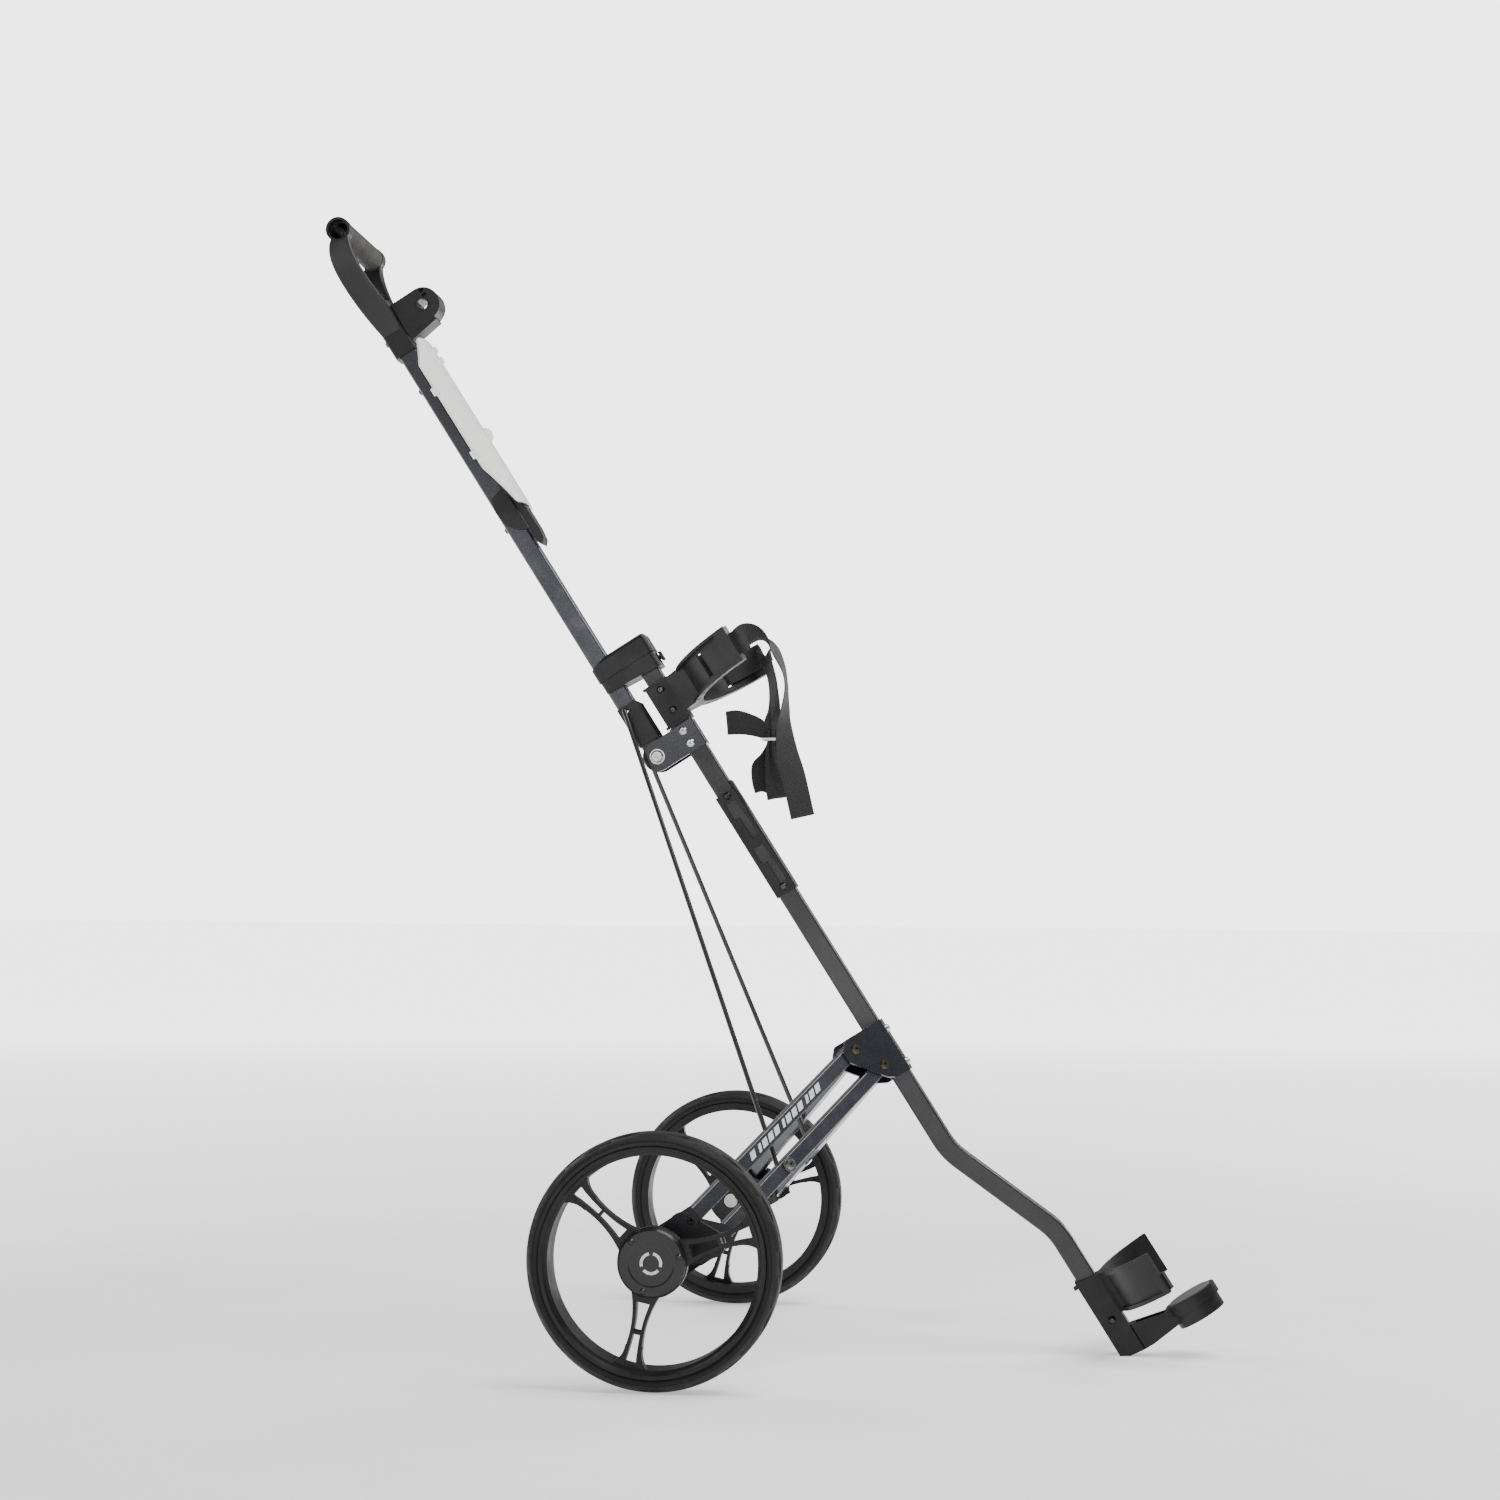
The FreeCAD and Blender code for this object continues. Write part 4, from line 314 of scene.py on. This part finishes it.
def closed_grid(rows, columns, wrap_rows=False, caps=True):
    """Faces of a grid that is closed round its columns, with end caps if its rows don't close."""
    faces = []
    last = rows if wrap_rows else rows - 1
    for i in range(last):
        for j in range(columns):
            a, b = i * columns + j, i * columns + (j + 1) % columns
            c, d = ((i + 1) % rows) * columns + (j + 1) % columns, ((i + 1) % rows) * columns + j
            faces.append((a, b, c, d))
    if caps and not wrap_rows:
        faces.append(tuple(range(columns - 1, -1, -1)))
        faces.append(tuple((rows - 1) * columns + j for j in range(columns)))
    return faces


def spline(values, steps):
    """Catmull-Rom through rows of numbers."""
    p = np.array(values, float)
    p = np.vstack([2 * p[0] - p[1], p, 2 * p[-1] - p[-2]])
    out = []
    for i in range(1, len(p) - 2):
        for k in range(steps):
            t = k / steps
            a, b, c, d = p[i - 1], p[i], p[i + 1], p[i + 2]
            out.append(0.5 * ((2 * b) + (c - a) * t + (2 * a - 5 * b + 4 * c - d) * t ** 2
                              + (3 * b - a - 3 * c + d) * t ** 3))
    out.append(p[-2])
    return np.array(out)


STRAP_WIDTH = 25.0
STRAP_THICK = 1.5
STRAP_EDGE = 0.45          # share of its thickness that the webbing keeps at its edges
STRAP_HALF_UV = 0.0125     # half the strap's width in metres, so that the weave keeps its scale
BACK_UV_SHIFT = 0.05       # keeps the back's weave apart from the front's


def strap(name, stations, replaced=(), steps=8, across=12):
    """Webbing strap through stations of (point, width direction, width, pleat height, pleats), all in mm.

    Pleats gather the strap: its cross-section becomes a wave that keeps the webbing's thickness."""
    rows = spline([[*point, *wide, *shape] for point, wide, *shape in stations], steps)
    centre = rows[:, :3] * MM
    along = np.gradient(centre, axis=0)
    along /= np.linalg.norm(along, axis=1)[:, None]
    length = np.concatenate([[0], np.cumsum(np.linalg.norm(np.diff(centre, axis=0), axis=1))])
    verts, uvs = [], []
    half = STRAP_THICK / 2
    v = np.linspace(-1, 1, across + 1)
    for i in range(len(rows)):
        w = rows[i, 3:6] - along[i] * (rows[i, 3:6] @ along[i])
        w /= np.linalg.norm(w)
        n = np.cross(along[i], w)
        width, pleat, count = rows[i, 6:9]
        wave = pleat * np.sin(v * math.pi * count)
        slope = np.gradient(wave, v * width / 2)
        ring, ring_uv = [], []
        for sign, order in ((1, range(across + 1)), (-1, range(across, -1, -1))):
            for j in order:
                round_off = half * (1.0 if 0 < j < across else STRAP_EDGE)
                m = np.array([-slope[j], 1.0]) / math.hypot(slope[j], 1.0) * sign * round_off
                y, z = v[j] * width / 2 + m[0], wave[j] + m[1]
                ring.append(centre[i] + (w * y + n * z) * MM)
                back = BACK_UV_SHIFT if sign < 0 else 0
                ring_uv.append((length[i], v[j] * STRAP_HALF_UV + back))
        verts += ring
        uvs += ring_uv
    faces = closed_grid(len(rows), 2 * (across + 1))
    return new_piece(name, verts, faces, WEBBING, "frame", replaced, uvs)


def flat_stations(points):
    return [(point, wide, STRAP_WIDTH, 0.0, 1.0) for point, wide in points]


def from_tie(rows):
    """Strap stations whose points are given from the tie."""
    return [(tuple(t + d for t, d in zip(TIE, offset)), *shape) for offset, *shape in rows]


# ---------------------------------------------------------------- straps
# each strap's middle line: points in mm, each with the direction of the strap's width there
RIGHT_PATH = [((-61.8, -68.3, 694.7), (0.54, 0, -0.84)), ((-57.7, -63.3, 697.3), (0.54, 0, -0.84)),
              ((-51.3, -66.3, 701.4), (0.54, 0, -0.84)), ((-36.8, -77.5, 710.6), (0.54, 0, -0.84)),
              ((-22.3, -82.7, 719.9), (0.54, 0, -0.84)), ((-15.5, -75.4, 726.2), (0.5, 0.5, -0.7)),
              ((0.5, -65.4, 722.2), (0.4, 0.9, -0.3)), ((11.5, -55.4, 711.2), (0.3, 1, 0)),
              ((18.5, -45.4, 695.2), (0.1, 1, 0)), ((20.5, -37.4, 678.2), (0, 1, 0)),
              ((18.5, -29.4, 656.2), (0.2, 1, 0)), ((16.5, -23.4, 638.2), (0.5, 0.85, 0.1)),
              ((19.5, -17.4, 611.2), (0.8, 0.6, 0.2)), ((26.5, -13.4, 583.2), (0.93, 0.2, 0.3)),
              ((35.5, -9.4, 543.2), (0.93, 0, 0.35))]
LEFT_PATH = [((-61.8, 68.3, 694.7), (0.54, 0, -0.84)), ((-57.7, 63.3, 697.3), (0.54, 0, -0.84)),
             ((-51.3, 66.3, 701.4), (0.54, 0, -0.84)), ((-36.8, 77.5, 710.6), (0.54, 0, -0.84)),
             ((-22.3, 82.7, 719.9), (0.54, 0, -0.84)), ((-16.5, 71.4, 719.2), (0.5, -0.5, -0.7)),
             ((-9.5, 61.4, 705.2), (0.4, -0.9, 0)), ((-3.5, 46.4, 684.2), (0.4, -0.9, 0)),
             ((-0.5, 29.4, 660.2), (0.5, -0.8, 0))]
TIE = (-1.5, 15.4, 625.2)      # middle of the cable tie, in mm


def build_straps():
    strap("right_strap_webbing", flat_stations(RIGHT_PATH), ["right_bag_strap"])
    left = flat_stations(LEFT_PATH[:-1])
    left.append((*LEFT_PATH[-1], 23.0, 0.6, 1.5))
    left.append(((-1.5, 15.6, 639.0), (0.9, -0.3, 0), 13.0, 1.8, 1.5))
    left.append(((-1.2, 14.6, 631.5), (0.95, -0.2, 0), 9.5, 1.6, 2.0))
    strap("left_strap_webbing", left, ["left_bag_strap"])
    # front fold: from inside the tie down to the bottom, opening out to its full width
    front = from_tie([
        ((1.5, -3.0, 10.0), (1, 0, 0), 9.5, 1.4, 2.0),
        ((1.5, -3.2, 0.0), (1, 0, 0), 9.0, 1.6, 2.0),
        ((2.0, -4.0, -14.0), (1, 0, 0.05), 13.5, 1.8, 2.0),
        ((4.5, -4.6, -34.0), (0.98, 0.05, 0.1), 19.0, 1.0, 1.5),
        ((7.0, -5.0, -52.0), (0.95, 0.1, 0.2), 22.5, 0.5, 1.0),
        ((8.5, -4.0, -59.0), (0.95, 0.1, 0.2), 22.5, 0.4, 1.0),
        ((8.0, -0.5, -61.0), (0.95, 0.1, 0.2), 22.5, 0.4, 1.0),
        ((7.0, 1.5, -56.0), (0.95, 0.1, 0.2), 22.0, 0.4, 1.0),
        ((4.0, 0.3, -30.0), (1, 0, 0.05), 17.0, 0.8, 1.5),
        ((2.0, 0.2, -6.0), (1, 0, 0), 9.5, 1.2, 2.0),
    ])
    strap("tied_fold_front", front, ["strap_bundle"])
    # side fold: a lobe that stands out behind the tie
    lobe = from_tie([
        ((-2.5, 3.5, 6.0), (0.4, 1, 0), 8.0, 1.0, 2.0),
        ((-2.5, 3.5, -4.0), (0.4, 1, 0), 8.5, 1.0, 2.0),
        ((-8.0, 2.5, -16.0), (0.5, 0.85, 0.2), 12.0, 0.8, 1.5),
        ((-14.0, 1.5, -28.0), (0.8, 0.5, 0.1), 13.0, 0.5, 1.0),
        ((-12.5, 1.0, -42.0), (0.9, 0.3, -0.1), 15.0, 0.3, 1.0),
        ((-8.5, 1.5, -52.0), (0.95, 0.25, -0.15), 18.0, 0.3, 1.0),
        ((-7.0, 4.5, -53.5), (0.95, 0.25, -0.15), 18.0, 0.3, 1.0),
        ((-5.5, 6.0, -44.0), (0.95, 0.2, 0), 16.0, 0.3, 1.0),
        ((-2.0, 5.6, -20.0), (1, 0.1, 0), 12.0, 0.6, 1.5),
        ((-0.5, 4.8, -5.0), (1, 0.1, 0), 8.0, 0.8, 2.0),
    ])
    strap("tied_fold_side", lobe)
    # loop: standing out behind the tie, leaning a little to the side
    wide = (-0.05, -0.30, 0.95)
    loop = from_tie([
        ((1.0, -1.0, 4.0), (0, -0.1, 1), 8.0, 0.6, 1.5),
        ((-4.5, -2.6, 7.0), (0, -0.15, 1), 14.0, 0.5, 1.0),
        ((-15.0, -5.2, 13.0), wide, 21.0, 0.2, 1.0),
        ((-28.0, -6.6, 16.5), wide, 24.0, 0.0, 1.0),
        ((-40.0, -6.0, 17.0), wide, 25.0, 0.0, 1.0),
        ((-45.6, -2.2, 17.2), wide, 25.0, 0.0, 1.0),
        ((-44.6, 2.6, 18.0), wide, 25.0, 0.0, 1.0),
        ((-36.0, 4.0, 19.0), wide, 25.0, 0.0, 1.0),
        ((-24.0, 2.6, 17.0), wide, 22.0, 0.1, 1.0),
        ((-12.0, 1.2, 12.0), (0, -0.2, 1), 16.0, 0.4, 1.0),
        ((-2.0, 1.0, 5.0), (0, -0.1, 1), 8.0, 0.6, 1.5),
    ])
    strap("tied_loop", loop)


# ---------------------------------------------------------------- tyres
# radius and half width, in mm, from the inner edge of one side to the middle of the tread
TYRE_PROFILE = [(107.0, 16.9), (107.5, 17.3), (109.4, 18.8), (110.3, 19.4), (111.4, 19.45),
                (111.9, 19.2), (112.1, 18.7), (112.35, 18.7), (112.6, 19.1), (113.2, 18.7),
                (114.2, 18.0), (115.2, 17.1), (116.1, 16.1), (116.9, 15.0), (117.6, 13.8),
                (118.2, 12.6), (118.8, 11.3), (119.3, 10.0), (119.7, 8.9), (119.95, 7.9),
                (119.98, 6.0), (119.95, 4.6), (119.3, 4.3), (119.3, 3.7), (119.95, 3.4), (120.0, 1.7)]
TREAD_COUNT = 14
TREAD_ROWS = ((14.6, 0.0, 0.62, 2.3), (10.0, 0.5, 0.58, 1.9))   # middle, turn, length, half width
TREAD_LEAN = 1.6
TREAD_DEPTH = 1.6
TREAD_SIDE = 0.7           # width of the slope at a hollow's side
TREAD_START = 112.7        # radius from which the hollows cut in
TYRE_STEPS = 448


def tyre_radius_drop(w, angle):
    """Depth of the lens-shaped hollows, in mm, at a place across the tread and round the tyre."""
    drop = 0.0
    for centre, phase, reach, wide in TREAD_ROWS:
        turn = (angle / (2 * math.pi) * TREAD_COUNT + phase) % 1.0 - 0.5
        lens = 1 - (turn / reach * 2) ** 2
        if lens <= 0:
            continue
        inside = wide * lens - abs(abs(w) - centre - turn * TREAD_LEAN)
        drop = max(drop, TREAD_DEPTH * min(1.0, max(0.0, inside / TREAD_SIDE)))
    return drop


def build_tyre(side, sign):
    """Tyre turned about the axle, with lens-shaped hollows round both shoulders and fine tread grooves."""
    profile = TYRE_PROFILE + [(r, -w) for r, w in reversed(TYRE_PROFILE)]
    verts = []
    centre = Vector((WHEEL_X, -WHEEL_Y * sign, WHEEL_Z))
    for i in range(TYRE_STEPS):
        angle = 2 * math.pi * i / TYRE_STEPS
        for r, w in profile:
            r = r - tyre_radius_drop(w, angle) if r > TREAD_START else r
            verts.append(centre + Vector((r * math.cos(angle), w * sign, r * math.sin(angle))) * MM)
    faces = closed_grid(TYRE_STEPS, len(profile), wrap_rows=True)
    if sign < 0:
        faces = [tuple(reversed(f)) for f in faces]
    new_piece(side + "_tyre_tread", verts, faces, RUBBER_TYRE, side + "_wheel", [side + "_tyre"])


# ---------------------------------------------------------------- printed marks
PRINT_LIFT = 0.00002
PRINT_THICK = 0.00012
BAR_HALF = 0.0075
DASH_FROM, DASH_TO = 0.22, 0.68     # shares of the bar's length
DASH_STEP, DASH_LONG, DASH_SHORT = 0.0105, 0.0078, 0.0042
DASH_HIGH, DASH_SLANT = 0.0036, 0.0022
RING_OUTER, RING_INNER = 0.0105, 0.0078
RING_GAP = 12                       # degrees at each end of an arc
RING_STEPS = 14
CAP_DISH = 0.0008


def arc(radius, start, end):
    """Points of an arc, from one angle to another."""
    angles = [start + (end - start) * k / RING_STEPS for k in range(RING_STEPS + 1)]
    return [(radius * math.cos(a), radius * math.sin(a)) for a in angles]


def plate(name, outlines, origin, along, across, body, flip=False):
    """Thin printed shapes on a face: outlines in metres on the plane of along and across."""
    normal = along.cross(across).normalized() * (-1 if flip else 1)
    verts, faces = [], []
    for outline in outlines:
        start, count = len(verts), len(outline)
        for step in (0.0, PRINT_THICK):
            lift = normal * (PRINT_LIFT + step)
            verts += [origin + along * u + across * v + lift for u, v in outline]
        faces.append(tuple(range(start + count - 1, start - 1, -1)))
        faces.append(tuple(range(start + count, start + 2 * count)))
        faces += [(start + i, start + (i + 1) % count, start + count + (i + 1) % count, start + count + i)
                  for i in range(count)]
    obj = new_piece(name, verts, faces, PRINT, body, smooth=False)
    bm = bmesh.new()
    bm.from_mesh(obj.data)
    bmesh.ops.recalc_face_normals(bm, faces=bm.faces)
    bm.to_mesh(obj.data)
    bm.free()


def build_marks(side, sign):
    """A plain row of slanted dashes along the upper bar, and a ring of three arcs on the cap."""
    inner, outer, normal = mirrored([UPPER_INNER, UPPER_OUTER, LEG_NORMAL], sign)
    along = (outer - inner).normalized()
    out = -normal
    across = out.cross(along).normalized()
    length = (outer - inner).length
    dashes = []
    start, end = DASH_FROM * length, DASH_TO * length
    for i in range(int((end - start) / DASH_STEP)):
        u = start + i * DASH_STEP
        long = DASH_LONG if i % 4 != 2 else DASH_SHORT
        low, high = u - DASH_SLANT, u + DASH_SLANT
        dashes.append([(low, -DASH_HIGH), (low + long, -DASH_HIGH),
                       (high + long, DASH_HIGH), (high, DASH_HIGH)])
    plate(side + "_bar_dashes", dashes, inner + out * BAR_HALF, along, across, side + "_upper_bar")
    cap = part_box(side + "_hub_cap")
    face_y = cap[0].y if sign < 0 else cap[1].y
    centre = Vector((WHEEL_X, face_y - sign * CAP_DISH, WHEEL_Z))
    ring = []
    for i in range(3):
        start = math.radians(90 + 120 * i + RING_GAP)
        end = math.radians(90 + 120 * (i + 1) - RING_GAP)
        ring.append(arc(RING_OUTER, start, end) + arc(RING_INNER, end, start))
    plate(side + "_cap_ring", ring, centre, Vector((1, 0, 0)), Vector((0, 0, 1)), side + "_wheel", sign > 0)


# ---------------------------------------------------------------- studio
FLOOR_HALF = 60.0
CAMERA_TURN = (-7.363, 3.3, 0.419)                       # yaw, pitch and roll, degrees
CAMERA_PLACE = (WHEEL_X + 0.412529, -2.812606, 0.449847)
CAMERA_LENS = 65.28


def area_light(name, place, target, size, energy, size_y=None):
    data = bpy.data.lights.new(name, "AREA")
    data.shape = "RECTANGLE"
    data.size, data.size_y = size, size_y or size
    data.energy = energy
    obj = bpy.data.objects.new(name, data)
    obj.location = place
    obj.rotation_euler = (Vector(target) - Vector(place)).to_track_quat("-Z", "Y").to_euler()
    bpy.context.scene.collection.objects.link(obj)


def build_studio():
    world = bpy.data.worlds.new("studio")
    world.use_nodes = True
    tree = world.node_tree
    lit = tree.nodes["Background"]
    lit.inputs["Color"].default_value = (1.0, 1.0, 1.0, 1.0)
    lit.inputs["Strength"].default_value = 0.22
    seen = tree.nodes.new("ShaderNodeBackground")
    seen.inputs["Color"].default_value = (1.0, 1.0, 1.0, 1.0)
    seen.inputs["Strength"].default_value = 3.8
    path = tree.nodes.new("ShaderNodeLightPath")
    mixer = tree.nodes.new("ShaderNodeMixShader")
    tree.links.new(path.outputs["Is Camera Ray"], mixer.inputs[0])
    tree.links.new(lit.outputs[0], mixer.inputs[1])
    tree.links.new(seen.outputs[0], mixer.inputs[2])
    tree.links.new(mixer.outputs[0], tree.nodes["World Output"].inputs["Surface"])
    bpy.context.scene.world = world
    corners = [(-FLOOR_HALF, -FLOOR_HALF, 0), (FLOOR_HALF, -FLOOR_HALF, 0), (FLOOR_HALF, FLOOR_HALF, 0),
               (-FLOOR_HALF, FLOOR_HALF, 0)]
    mesh = bpy.data.meshes.new("studio_floor")
    mesh.from_pydata(corners, [], [(0, 1, 2, 3)])
    mesh.materials.append(studio_floor())
    floor = bpy.data.objects.new("studio_floor", mesh)
    bpy.context.scene.collection.objects.link(floor)
    area_light("key", (1.2, -0.4, 3.0), (0, 0, 0.5), 2.0, 90)
    area_light("front", (2.0, 2.6, 2.2), (0, 0, 0.5), 1.6, 55)
    area_light("back", (-2.4, 1.4, 2.2), (0, 0, 0.6), 1.6, 45)
    area_light("reflector", (-0.60, -2.9, 1.16), (-0.12, 0, 0.82), 0.17, 6, 0.34)


def build_camera():
    yaw, pitch, roll = (math.radians(a) for a in CAMERA_TURN)
    forward = Vector((math.sin(yaw) * math.cos(pitch), math.cos(yaw) * math.cos(pitch), math.sin(pitch)))
    level = Vector((math.cos(yaw), -math.sin(yaw), 0))
    upward = level.cross(forward)
    right = level * math.cos(roll) + upward * math.sin(roll)
    up = upward * math.cos(roll) - level * math.sin(roll)
    data = bpy.data.cameras.new("camera")
    data.sensor_width = 36.0
    data.lens = CAMERA_LENS
    data.clip_end = 200
    camera = bpy.data.objects.new("camera", data)
    turn = Matrix((right, up, -forward)).transposed().to_4x4()
    camera.matrix_world = Matrix.Translation(CAMERA_PLACE) @ turn
    bpy.context.scene.collection.objects.link(camera)
    bpy.context.scene.camera = camera


build_camera()
build_studio()
dress_nodes()
build_straps()
for side, sign in (("right", -1), ("left", 1)):
    build_tyre(side, sign)
    build_marks(side, sign)
